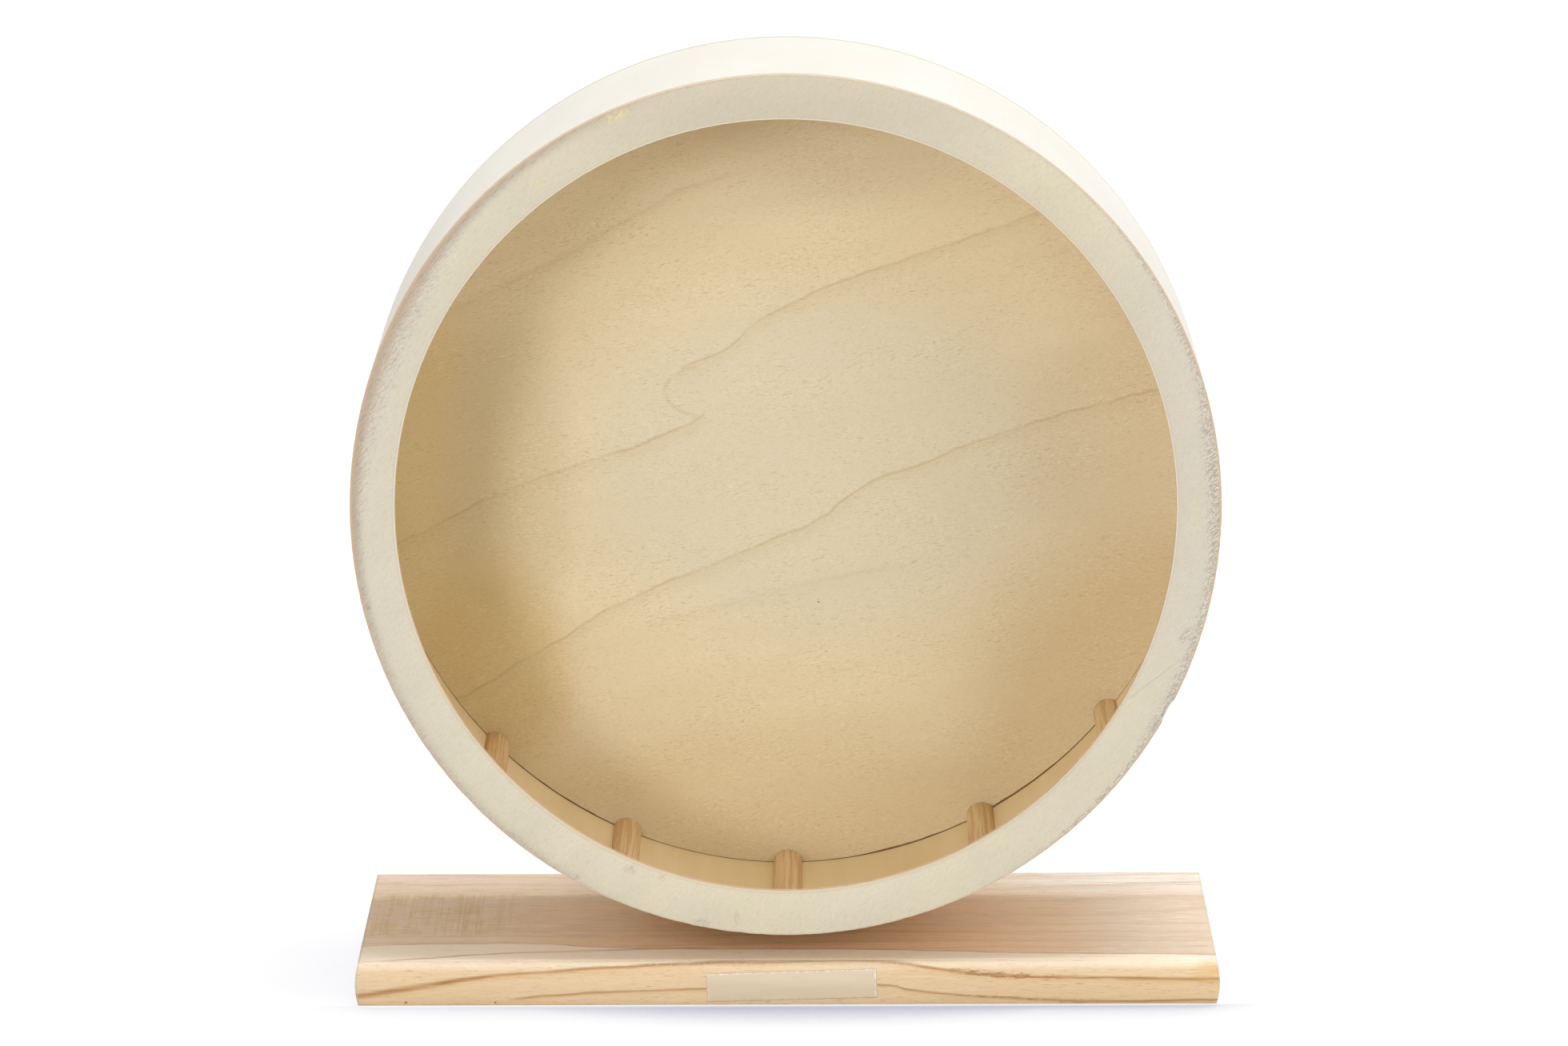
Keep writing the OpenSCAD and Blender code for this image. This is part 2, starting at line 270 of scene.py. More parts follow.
class Sheet:
    """Adds nodes to one node tree, each fed with plain values or with other nodes' outputs."""

    def __init__(self, tree):
        self.tree = tree

    def add(self, kind, inputs=(), **settings):
        made = self.tree.nodes.new("ShaderNode" + kind)
        for name, value in settings.items():
            setattr(made, name, value)
        for socket, value in dict(inputs).items():
            self.feed(made.inputs[socket], value)
        return made

    def feed(self, socket, value):
        if isinstance(value, bpy.types.NodeSocket):
            self.tree.links.new(value, socket)
        else:
            socket.default_value = value

    def math(self, operation, *values):
        return self.add("Math", enumerate(values), operation=operation).outputs[0]

    def plus(self, one, other):
        return self.math("ADD", one, other)

    def less(self, one, other):
        return self.math("SUBTRACT", one, other)

    def over(self, one, other):
        return self.math("DIVIDE", one, other)

    def size(self, value):
        return self.math("ABSOLUTE", value)

    def far(self, x, z):
        """Distance from a middle, from two distances at right angles."""
        return self.math("SQRT", self.plus(self.times(x, x), self.times(z, z)))

    def fold(self, operation, values):
        result = values[0]
        for value in values[1:]:
            result = self.math(operation, result, value)
        return result

    def most(self, *values):
        return self.fold("MAXIMUM", values)

    def times(self, *values):
        return self.fold("MULTIPLY", values)

    def mix(self, factor, low, high):
        inputs = {0: factor, 6: rgba(low), 7: rgba(high)}
        return self.add("Mix", inputs, data_type="RGBA").outputs[2]

    def lay(self, colour, tint, *masks):
        """Lays a tint over a colour, as strongly as all the masks together allow."""
        return self.mix(self.times(*masks), colour, tint)

    def coats(self, colour, *layers):
        """Lays several tints in turn, each given with its masks."""
        for tint, *masks in layers:
            colour = self.lay(colour, tint, *masks)
        return colour

    def noise(self, vector, scale=1, detail=2, roughness=0.5):
        inputs = {"Vector": vector, "Scale": scale, "Detail": detail, "Roughness": roughness}
        return self.add("TexNoise", inputs).outputs[0]

    def stretched(self, vector, scale, detail, roughness=0.5):
        """Noise on stretched coordinates."""
        return self.noise(self.place(vector, scale=scale), 1, detail, roughness)

    def place(self, vector, move=(0, 0, 0), turn=(0, 0, 0), scale=(1, 1, 1)):
        inputs = {
            "Vector": vector, "Location": move, "Scale": scale,
            "Rotation": [radians(angle) for angle in turn]
        }
        return self.add("Mapping", inputs).outputs[0]

    def span(self, value, low, high, to_low=0, to_high=1):
        """Smooth step from to_low at low to to_high at high."""
        inputs = {
            "Value": value, "From Min": low, "From Max": high, "To Min": to_low, "To Max": to_high
        }
        return self.add("MapRange", inputs, interpolation_type="SMOOTHSTEP").outputs[0]

    def fall(self, value, low, high):
        """Smooth step down, from 1 at low to 0 at high."""
        return self.span(value, low, high, 1, 0)

    def split(self, vector):
        return self.add("SeparateXYZ", {0: vector}).outputs[:]

    def join(self, x, y, z):
        return self.add("CombineXYZ", {0: x, 1: y, 2: z}).outputs[0]

    def draw_in(self, vector, length, width):
        """Coordinates in which marks of this length along X and this width come out round."""
        x, y, z = self.split(vector)
        return self.join(self.over(x, length), self.over(y, width), self.over(z, width))

    def line(self, along, points):
        """Height of a line drawn through the given points at each place along it."""
        first, last = points[0][0], points[-1][0]
        low = min(p[1] for p in points)
        high = max(p[1] for p in points)
        where = self.over(self.less(along, first), last - first)
        node = self.add("FloatCurve", {"Value": where})
        curve = node.mapping.curves[0]
        scaled = [((x - first) / (last - first), (z - low) / (high - low)) for x, z in points]
        curve.points[0].location = scaled[0]
        curve.points[1].location = scaled[-1]
        for spot in scaled[1:-1]:
            curve.points.new(*spot)
        node.mapping.update()
        return self.math("MULTIPLY_ADD", node.outputs[0], high - low, low)

    def spot(self, place, centre, half, turn=0):
        """Soft oval mark in the XZ plane, rising by turn: 1 in its middle and 0 outside."""
        inputs = {
            "Vector": place, "Location": (centre[0], 0, centre[1]),
            "Rotation": (0, radians(-turn), 0), "Scale": (half[0], 1000, half[1])
        }
        inside = self.add("Mapping", inputs, vector_type="TEXTURE").outputs[0]
        far = self.add("VectorMath", {0: inside}, operation="LENGTH").outputs["Value"]
        return self.fall(far, 0.5, 1)

    def spots(self, place, *ovals):
        """Several soft ovals: (x, z, half width, half height), and the turn where it has one."""
        return self.most(*(self.spot(place, oval[:2], oval[2:4], *oval[4:]) for oval in ovals))

    def use(self, group, **inputs):
        """Places a node group and feeds its inputs by name."""
        node = self.add("Group", (), node_tree=group)
        for name, value in inputs.items():
            self.feed(node.inputs[name], value)
        return node.outputs

    def fibres(self, wood, length, thickness, cover):
        return self.use(FIBRE_MARKS, Vector=wood, Length=length, Thickness=thickness, Cover=cover)

    def cloud(self, wood, length, width):
        return self.use(CLOUD, Vector=wood, Length=length, Width=width)["Tone"]

    def wear_and_sheen(self, wood, distance, reach):
        return self.use(EDGE_WEAR_AND_SHEEN, Vector=wood, Distance=distance, Reach=reach)["Wear_and_sheen"]

    def growth(self, across, line, width, fade):
        return self.use(GRAIN_LINE, Across=across, Line=line, Width=width, Fade=fade)

    def cut_edge(self, wood, depth, thickness, woods, glue, core=0.5, glued=(0.6,)):
        """Edge of three-ply board: outer plies, then their core, and the glue lines between."""
        plies = self.use(PLIES, Vector=wood, Depth=depth, Thickness=thickness)
        edge = self.lay(woods[0], woods[1], plies["Core"], core)
        return self.lay(edge, glue, plies["Glue"], *glued)

    def about_axle(self):
        """Object coordinates in millimetres from the middle of the wheel."""
        return self.place(self.millimetres(), move=(0, 0, -AXLE.z / MM))

    def from_axle(self):
        """Distance from the axle in millimetres."""
        x, z = self.split(self.about_axle())[::2]
        return self.far(x, z)

    def millimetres(self):
        """Object coordinates in millimetres."""
        here = self.add("TexCoord").outputs["Object"]
        return self.place(here, scale=(1 / MM,) * 3)

    def grain(self):
        """Place in the wood that the mesh carries, in millimetres."""
        return self.add("Attribute", (), attribute_name="grain").outputs["Vector"]


def rgba(colour):
    if isinstance(colour, bpy.types.NodeSocket):
        return colour
    return (*colour, 1)


def new_group(name, inputs, outputs):
    """Empty node group with named inputs and outputs: (sheet, its inputs, its output node)."""
    tree = bpy.data.node_groups.new(name, "ShaderNodeTree")
    for label, value in inputs.items():
        kind = "NodeSocketVector" if value is None else "NodeSocketFloat"
        socket = tree.interface.new_socket(label, in_out="INPUT", socket_type=kind)
        if value is not None:
            socket.default_value = value
    for label in outputs:
        tree.interface.new_socket(label, in_out="OUTPUT", socket_type="NodeSocketFloat")
    sheet = Sheet(tree)
    given = tree.nodes.new("NodeGroupInput").outputs
    result = tree.nodes.new("NodeGroupOutput").inputs
    return sheet, given, result


def new_material(name, roughness=0.6, level=0.3, metallic=0):
    """Material with a Principled BSDF: (sheet, the shader's inputs)."""
    material = bpy.data.materials.new(name)
    material.use_nodes = True
    material.node_tree.nodes.clear()
    sheet = Sheet(material.node_tree)
    shader = sheet.add("BsdfPrincipled")
    shader.inputs["Roughness"].default_value = roughness
    shader.inputs["Specular IOR Level"].default_value = level
    shader.inputs["Metallic"].default_value = metallic
    output = sheet.add("OutputMaterial")
    sheet.feed(output.inputs["Surface"], shader.outputs[0])
    return material, sheet, shader.inputs


def finish(sheet, shader, colour, roughness, height, depth, strength):
    """Feeds a surface its colour, roughness and fine relief, depth in millimetres."""
    bump = sheet.add("Bump", {"Height": height, "Distance": depth * MM, "Strength": strength})
    sheet.feed(shader["Base Color"], colour)
    sheet.feed(shader["Roughness"], roughness)
    sheet.feed(shader["Normal"], bump.outputs[0])


def make_fibre_marks():
    """Short dark and light marks along the grain, where the knife opened the pores."""
    inputs = {"Vector": None, "Length": 3, "Thickness": 0.5, "Cover": 0.5}
    s, given, result = new_group("fibre_marks", inputs, ("Dark", "Light", "Height"))
    drawn_in = s.draw_in(given["Vector"], given["Length"], given["Thickness"])
    marks = s.noise(drawn_in, 1, 2.5, 0.6)
    start = s.math("MULTIPLY_ADD", given["Cover"], -0.3, 0.75)
    s.feed(result["Dark"], s.span(marks, start, s.plus(start, 0.14)))
    other = s.less(1, marks)
    s.feed(result["Light"], s.span(other, start, s.plus(start, 0.14)))
    s.feed(result["Height"], other)
    return s.tree


def make_cloud():
    """Broad soft change of tone, stretched along the grain; 0.5 is the middle."""
    inputs = {"Vector": None, "Length": 60, "Width": 20}
    s, given, result = new_group("cloud", inputs, ("Tone",))
    drawn_in = s.draw_in(given["Vector"], given["Length"], given["Width"])
    s.feed(result["Tone"], s.span(s.noise(drawn_in, 1, 3, 0.5), 0.25, 0.75))
    return s.tree


def make_grain_line():
    """One growth line: a thin dark core, and a soft side that fades out below it."""
    inputs = {"Across": 0, "Line": 0, "Width": 0.8, "Fade": 6}
    s, given, result = new_group("grain_line", inputs, ("Core", "Side"))
    below = s.less(given["Line"], given["Across"])
    s.feed(result["Core"], s.fall(s.size(below), 0, given["Width"]))
    fade = s.fall(below, 0, given["Fade"])
    s.feed(result["Side"], s.times(fade, s.math("GREATER_THAN", below, 0)))
    return s.tree


def make_edge_wear_and_sheen():
    """Mask that reaches in from an edge, broken up by the grain: wear on the wood and the frayed film,
    and a painted highlight along the film's lit edges.
    """
    inputs = {"Vector": None, "Distance": 0, "Reach": 1}
    s, given, result = new_group("edge_wear_and_sheen", inputs, ("Wear_and_sheen",))
    breaks = s.noise(given["Vector"], 0.7, 3, 0.6)
    reach = s.times(given["Reach"], s.span(breaks, 0.3, 0.7, 0.2, 1.4))
    s.feed(result["Wear_and_sheen"], s.fall(given["Distance"], 0, reach))
    return s.tree


def make_plies():
    """Cut edge of three-ply board: a darker core between two thin glue lines."""
    inputs = {"Vector": None, "Depth": 0, "Thickness": 4}
    s, given, result = new_group("plies", inputs, ("Core", "Glue"))
    part = s.over(given["Depth"], given["Thickness"])
    uneven = s.math("MULTIPLY_ADD", s.noise(given["Vector"], 0.15, 2), 0.06, -0.03)
    middle = s.size(s.less(s.plus(part, uneven), 0.5))
    s.feed(result["Core"], s.fall(middle, 0.15, 0.19))
    line = s.size(s.less(middle, 0.17))
    s.feed(result["Glue"], s.fall(line, 0, 0.03))
    return s.tree


def make_year_rings():
    """Year rings of pine round a pith line along X: dark latewood and soft tone between."""
    inputs = {"Vector": None, "PithY": 30, "PithZ": -60, "Spacing": 5}
    s, given, result = new_group("year_rings", inputs, ("Late", "Tone"))
    y, z = s.split(given["Vector"])[1:]
    out = s.less(y, given["PithY"])
    up = s.less(z, given["PithZ"])
    far = s.far(out, up)
    slow = s.noise(s.place(given["Vector"], scale=(0.006, 0.02, 0.02)), 1, 2)
    fine = s.noise(s.place(given["Vector"], scale=(0.03, 0.25, 0.25)), 1, 2)
    wander = s.math("MULTIPLY_ADD", slow, 14, s.times(fine, 1.2))
    count = s.over(s.plus(far, wander), given["Spacing"])
    year = s.math("FRACT", count)
    late = s.times(s.span(year, 0.55, 0.93), s.fall(year, 0.93, 1))
    s.feed(result["Late"], late)
    s.feed(result["Tone"], s.span(s.noise(s.join(count, 0, 0), 0.8, 2), 0.3, 0.7))
    return s.tree


def make_metal_marks():
    """Fine turning lines about the axle, and soft smudges, on small metal parts."""
    s, given, result = new_group("metal_marks", {"Vector": None}, ("Lines", "Smudge"))
    x, y, z = s.split(given["Vector"])
    out = s.far(x, z)
    lines = s.noise(s.join(s.times(out, 9), s.times(y, 9), 0), 1, 2, 0.7)
    s.feed(result["Lines"], lines)
    s.feed(result["Smudge"], s.span(s.noise(given["Vector"], 0.45, 4, 0.6), 0.3, 0.75))
    return s.tree


FIBRE_MARKS = make_fibre_marks()
CLOUD = make_cloud()
GRAIN_LINE = make_grain_line()
EDGE_WEAR_AND_SHEEN = make_edge_wear_and_sheen()
PLIES = make_plies()
YEAR_RINGS = make_year_rings()
METAL_MARKS = make_metal_marks()


# Materials

# Growth lines on the face of the back disc, millimetres from the middle of the base: (x, z)
DISC_LINE_LOW = (
    (-132, 80), (-112, 86), (-93, 97), (-78, 106), (-62, 116), (-43, 125), (-25, 132), (-6, 140),
    (12, 148), (21, 155), (32, 162), (45, 166), (62, 173), (82, 180), (100, 185), (142, 196)
)
DISC_LINE_LEFT = ((-142, 136), (-132, 140), (-100, 156), (-65, 169), (-47, 175), (-28, 184))
DISC_LINE_RIGHT = (
    (-36, 200), (-19, 208), (-10, 216), (1, 222), (19, 230), (45, 239), (63, 245), (142, 278)
)
DISC_LINE_FAINT = ((-60, 108), (-36, 114), (-10, 121), (17, 127), (60, 136))
DISC_LINE_TOP = ((-125, 216), (-110, 223), (-83, 236), (-55, 251), (-35, 262), (10, 274))


def tan_plywood():
    """Rotary-cut veneer of the back disc, with its long growth lines."""
    material, s, shader = new_material("tan_plywood", 0.62)
    here = s.millimetres()
    y = s.split(here)[1]
    front_y, back_y = (v / MM for v in station("back_disc"))
    is_back = s.math("GREATER_THAN", y, (front_y + back_y) / 2)
    # the rear veneer is another leaf, so its pattern is turned and moved
    other = s.place(here, move=(31, 0, 340), turn=(0, 168, 0))
    face = s.add("Mix", {0: is_back, 4: here, 5: other}, data_type="VECTOR").outputs[1]
    fx, fz = s.split(face)[::2]

    along, through, across = s.split(s.place(face, turn=(0, 10, 0)))
    sway = s.stretched(face, (0.016, 0.016, 0.03), 2)
    across = s.math("MULTIPLY_ADD", sway, 16, across)
    wood = s.join(along, across, through)
    marks = s.fibres(wood, 2.6, 0.44, 0.6)
    fine = s.fibres(wood, 1.3, 0.26, 0.7)
    patchy = s.span(s.stretched(face, (0.03, 0.03, 0.05), 3), 0.3, 0.7, 0.5, 1.25)
    clouds = s.cloud(wood, 110, 26)
    bands = s.cloud(wood, 200, 9)

    uneven = s.times(s.less(s.noise(face, 0.09, 3, 0.6), 0.5), 3)
    height = s.plus(fz, uneven)
    low = s.growth(height, s.line(fx, DISC_LINE_LOW), 0.95, 7)
    left = s.growth(height, s.line(fx, DISC_LINE_LEFT), 0.95, 8)
    right = s.growth(height, s.line(fx, DISC_LINE_RIGHT), 0.95, 8)
    faint = s.growth(height, s.line(fx, DISC_LINE_FAINT), 1.6, 7)
    top = s.growth(height, s.line(fx, DISC_LINE_TOP), 2.4, 9)
    on_left = s.fall(fx, -29, -27)
    on_right = s.span(fx, -38, -36)
    # the right-hand line hooks back to the left-hand one in a small bay
    dx = s.over(s.plus(fx, 29), 12.5)
    dz = s.over(s.less(height, 192), 8.3)
    bay = s.far(dx, dz)
    ring = s.fall(s.size(s.less(bay, 1)), 0, 0.12)
    hook = s.times(ring, s.fall(fx, -34, -28))
    ends = s.times(s.span(fx, -60, -34), s.fall(fx, 20, 62))
    top_ends = s.times(s.span(fx, -126, -100), s.fall(fx, -36, 10))
    core = s.most(
        low["Core"], s.times(left["Core"], on_left), s.times(right["Core"], on_right, 0.8),
        s.times(hook, 0.9), s.times(faint["Core"], ends, 0.35), s.times(top["Core"], top_ends, 0.4)
    )
    broken = s.span(s.stretched(face, (0.05, 0.05, 0.05), 3), 0.3, 0.62, 0.35, 1)
    core = s.times(core, broken)
    side = s.most(
        low["Side"], s.times(left["Side"], on_left), s.times(right["Side"], on_right),
        s.times(faint["Side"], ends, 0.5), s.times(top["Side"], top_ends, 0.7)
    )

    colour = s.mix(s.times(clouds, 0.75), (0.8, 0.685, 0.455), (0.715, 0.585, 0.36))
    colour = s.lay(colour, (0.75, 0.65, 0.445), bands, 0.4)
    # painted light and shade on the front leaf, where the ring and track shade the disc: greyer in the
    # lit middle, darker and warmer towards the rim and the bottom; ovals of (x, z), reach, strength and
    # tint
    painted_shading = colour
    for middle, reach, strength, tint in (
        ((15, 165), (115, 80), 0.75, (0.68, 0.62, 0.465)),
        ((24, 297), (88, 46), 0.6, (0.64, 0.53, 0.34)),
        ((-130, 145), (58, 105), 0.85, (0.705, 0.565, 0.29)),
        ((-97, 160), (30, 78), 0.6, (0.625, 0.53, 0.335)),
        ((-10, 36), (150, 50), 0.4, (0.6, 0.46, 0.235)),
        ((-104, 94), (38, 50), 0.75, (0.655, 0.495, 0.235)),
        ((122, 178), (55, 62), 0.4, (0.6, 0.49, 0.32)),
        ((125, 75), (80, 88), 0.65, (0.62, 0.48, 0.26))
    ):
        painted_shading = s.lay(painted_shading, tint, s.spot(face, middle, reach), strength)
    # the rear leaf is one even tone, without the painted light and shade
    colour = s.mix(is_back, painted_shading, s.mix(0.45, colour, (0.73, 0.62, 0.45)))
    colour = s.coats(
        colour,
        ((0.6, 0.475, 0.27), side, 0.28),
        ((0.48, 0.33, 0.15), core, 0.45),
        ((0.5, 0.375, 0.19), marks["Dark"], patchy, 0.5),
        ((0.93, 0.83, 0.62), marks["Light"], patchy, 0.28),
        ((0.49, 0.365, 0.19), fine["Dark"], patchy, 0.34),
        ((0.93, 0.83, 0.62), fine["Light"], patchy, 0.2)
    )
    dot = s.spot(face, (10.9, 118.5), (0.5, 0.5))
    colour = s.lay(colour, (0.22, 0.18, 0.12), dot, 0.7)

    # cut edge of the board, and the gap beside the track that has filled with glue and dust
    radius = s.from_axle()
    on_edge = s.span(radius, WHEEL_R / MM - 0.25, WHEEL_R / MM - 0.1)
    depth = s.less(y, front_y)
    edge = s.cut_edge(
        here, depth, back_y - front_y, ((0.8, 0.74, 0.62), (0.62, 0.5, 0.35)), (0.42, 0.3, 0.18)
    )
    colour = s.mix(on_edge, colour, edge)
    in_gap = s.times(
        s.span(depth, 0.12, 0.45), s.fall(depth, 1.3, 1.6),
        s.span(radius, 138, 139), s.fall(radius, 142.2, 142.3)
    )
    colour = s.mix(in_gap, colour, (0.4, 0.19, 0.08))
    finish(
        s, shader, colour, s.span(marks["Dark"], 0, 1, 0.6, 0.74),
        s.plus(marks["Height"], s.times(fine["Height"], 0.5)), 0.16, 0.6
    )
    return material


# How far the torn fibres reach in from the outer edge of the ring: (angle from down, mm)
TORN_REACH = (
    (-180, 1), (-160, 1.6), (-142, 3.2), (-131, 5), (-122, 8), (-112, 9.5), (-100, 8),
    (-88, 5.5), (-76, 3.4), (-60, 2.6), (-38, 2.4), (-18, 0.9), (18, 0.8), (38, 1.8), (54, 3),
    (63, 4.5), (74, 4), (84, 5), (94, 6.5), (104, 4.5), (116, 2.8), (132, 1.6), (155, 1),
    (180, 1)
)


def pale_plywood():
    """Greyish veneer of the front ring, torn along its outer edge."""
    material, s, shader = new_material("pale_plywood", 0.66)
    here = s.millimetres()
    centred = s.about_axle()
    x, y, z = s.split(centred)
    front_y, back_y = (v / MM for v in station("front_ring"))
    radius = s.far(x, z)
    angle = s.times(s.math("ARCTAN2", x, s.times(z, -1)), 180 / pi)
    along, through, across = s.split(s.place(centred, turn=(0, 43, 0)))
    sway = s.stretched(centred, (0.03, 0.03, 0.03), 2)
    wood = s.join(along, s.math("MULTIPLY_ADD", sway, 6, across), through)
    marks = s.fibres(wood, 2.6, 0.42, 0.5)
    strokes = s.fibres(wood, 4.2, 0.4, 0.8)
    pores = s.fibres(wood, 1.8, 0.24, 0.8)
    crumbs = s.fibres(wood, 1.1, 0.34, 1)
    clouds = s.cloud(wood, 60, 14)

    colour = s.mix(clouds, (0.665, 0.6, 0.46), (0.61, 0.555, 0.43))
    warm = s.span(s.noise(centred, 0.028, 2), 0.35, 0.7)
    colour = s.coats(
        colour,
        ((0.67, 0.6, 0.42), warm, s.span(x, -90, 0, 0.1, 0.6)),
        ((0.62, 0.575, 0.475), s.fall(x, -140, -80), 0.6),
        ((0.595, 0.55, 0.47), s.span(x, 95, 135), 0.6),
        ((0.56, 0.5, 0.385), s.span(z, 115, 135), 0.7),
        ((0.42, 0.36, 0.26), marks["Dark"], 0.24),
        ((0.78, 0.72, 0.59), marks["Light"], 0.3),
        ((0.38, 0.32, 0.22), pores["Dark"], 0.22)
    )
    stroke_line = s.line(x, ((110, -68), (113.5, -65.3), (131.5, -51.5), (136, -48)))
    stroke = s.growth(z, stroke_line, 0.5, 2)["Core"]
    stroke = s.times(stroke, s.span(x, 113, 116), s.fall(x, 127, 133))
    colour = s.lay(colour, (0.4, 0.34, 0.22), stroke, s.span(z, -40, -38, 0.35, 0))

    # torn fibres: bared pinkish wood at the edge, and fine strokes further in
    reach = s.line(angle, TORN_REACH)
    ragged = s.times(reach, s.span(s.noise(wood, 0.9, 3, 0.7), 0.25, 0.75, 0.6, 1.3))
    inwards = s.less(WHEEL_R / MM, radius)
    part = s.over(inwards, ragged)
    torn = s.times(s.fall(part, 0.4, 1.1), s.span(reach, 0.8, 2.4, 0.25, 1))
    bare = s.times(s.fall(part, 0.3, 0.62), s.span(reach, 2.2, 6, 0.2, 1))
    bare = s.times(bare, s.span(angle, 10, 60, 1, 0.3))
    split = s.times(s.spot(centred, (133, -43.3), (4.2, 2), 55), 0.9)
    torn = s.most(torn, split)
    colour = s.lay(colour, (0.54, 0.49, 0.43), torn, 0.34)
    colour = s.lay(colour, (0.575, 0.435, 0.325), bare, s.span(crumbs["Height"], 0.3, 0.7, 0.95, 0.6))
    stroked = s.times(torn, s.math("MULTIPLY_ADD", bare, -0.35, 1))
    colour = s.lay(colour, (0.29, 0.245, 0.21), stroked, strokes["Dark"], 0.75)
    colour = s.lay(colour, (0.78, 0.71, 0.62), stroked, strokes["Light"], 0.3)
    crumbled = s.times(torn, s.span(x, -20, 60, 0.45, 1))
    colour = s.lay(colour, (0.34, 0.285, 0.23), crumbled, crumbs["Dark"], 0.6)
    colour = s.lay(colour, (0.78, 0.71, 0.62), crumbled, crumbs["Light"], 0.4)

    # worn brown strip along the left of the outer edge
    worn = s.times(
        s.fall(inwards, 1.2, 4.8), s.span(reach, 1, 3, 0.3, 1),
        s.fall(x, -70, -20), s.span(z, -60, 10, 0.5, 1),
        s.span(crumbs["Height"], 0.2, 0.8, 0.4, 1)
    )
    colour = s.lay(colour, (0.36, 0.28, 0.2), worn, 0.65)

    # short nicks low on the ring, at its inner and outer edges
    nicked = s.spots(
        centred, (-52.7, -122.4, 3.2, 1.8), (-41.9, -125.4, 1.8, 1.4), (-92.3, -111, 3.2, 2),
        (-71.3, -125.2, 2.8, 1.6), (-28.7, -140.6, 4.2, 1.9), (-16.8, -139, 1.2, 2.8)
    )
    colour = s.lay(colour, (0.36, 0.31, 0.24), nicked, strokes["Dark"], 0.5)
    colour = s.lay(colour, (0.36, 0.31, 0.24), nicked, crumbs["Dark"], 0.35)

    # thin lines where the sanded edges turn: at the inner edge a pale line, partly the pale outer ply
    # and partly a painted highlight that is stronger on the upper half; and yellow smears of glue
    rim_line = s.times(s.fall(inwards, 0.3, 1.1), s.span(reach, 1, 3, 0.3, 0.85))
    colour = s.mix(rim_line, colour, (0.585, 0.42, 0.27))
    from_inner = s.less(radius, RING_INNER_R / MM)
    colour = s.mix(s.span(from_inner, 0.7, 1.1, 0.3, 0), colour, (0.5, 0.38, 0.27))
    # pale outer ply at the inner edge with a painted highlight, stronger on the upper half
    inner_ply_and_highlight = s.times(s.fall(from_inner, 0.3, 0.75), s.span(z, -90, 0, 0.1, 1))
    colour = s.lay(colour, (0.8, 0.73, 0.6), inner_ply_and_highlight, 0.6)
    smear = s.most(
        s.spots(centred, (-55.5, 131.3, 5.5, 2, 28), (-80.5, 109, 1.6, 1.2)),
        s.times(s.spot(centred, (136, -3), (1.8, 9)), 0.35)
    )
    smear = s.times(smear, s.span(s.noise(wood, 0.8, 3), 0.4, 0.6))
    colour = s.lay(colour, (0.72, 0.64, 0.24), smear, 0.7)

    # cut edges
    depth = s.less(y, front_y)
    round_it = s.join(s.times(angle, 2.2), s.times(y, 1.5), 0)
    glue_spots = s.span(s.noise(round_it, 0.16, 2), 0.42, 0.6)
    edge = s.cut_edge(
        here, depth, back_y - front_y, ((0.76, 0.63, 0.48), (0.62, 0.44, 0.3)),
        (0.36, 0.15, 0.07), glued=(glue_spots, 0.9)
    )
    inside = s.fall(radius, RING_INNER_R / MM + 0.08, RING_INNER_R / MM + 0.22)
    on_edge = s.most(inside, s.fall(inwards, 0.08, 0.22))
    colour = s.mix(on_edge, colour, edge)
    height = s.plus(marks["Height"], s.times(torn, strokes["Height"], 0.9))
    finish(s, shader, colour, s.span(torn, 0, 1, 0.64, 0.8), height, 0.12, 0.5)
    return material


# Where the cut end of the track band begins, in millimetres round it from the seam
BAND_END = 909


def bent_plywood():
    """Track band: plain tan inside, very pale outside, the grain running round it."""
    material, s, shader = new_material("bent_plywood", 0.6)
    where = s.grain()
    round_it, across, through = s.split(where)
    is_outside = s.span(through, 1.2, 1.8)
    leaf = s.math("MULTIPLY_ADD", is_outside, 300, round_it)
    wood = s.join(across, leaf, s.times(is_outside, 9))
    marks = s.fibres(wood, 7, 0.5, 0.4)
    clouds = s.cloud(wood, 120, 35)
    bands = s.cloud(wood, 260, 6)
    inner = s.mix(clouds, (0.95, 0.79, 0.53), (0.9, 0.735, 0.465))
    inner = s.lay(inner, (0.78, 0.6, 0.35), bands, 0.25)
    outer = s.mix(clouds, (0.88, 0.86, 0.8), (0.85, 0.82, 0.755))
    outer = s.lay(outer, (0.86, 0.81, 0.71), bands, 0.3)
    colour = s.mix(is_outside, inner, outer)
    colour = s.lay(colour, (0.52, 0.4, 0.24), marks["Dark"], 0.16)
    colour = s.lay(colour, (0.9, 0.82, 0.66), marks["Light"], 0.18)

    # cut ends of the band at its seam
    ends = s.most(s.fall(round_it, 0, 0.05), s.span(round_it, BAND_END, BAND_END + 0.2))
    cut_end = s.cut_edge(
        where, through, TRACK_T / MM, ((0.76, 0.68, 0.54), (0.6, 0.46, 0.3)), (0.36, 0.24, 0.13)
    )
    colour = s.mix(ends, colour, cut_end)
    finish(s, shader, colour, s.span(clouds, 0, 1, 0.55, 0.66), marks["Height"], 0.08, 0.4)
    return material


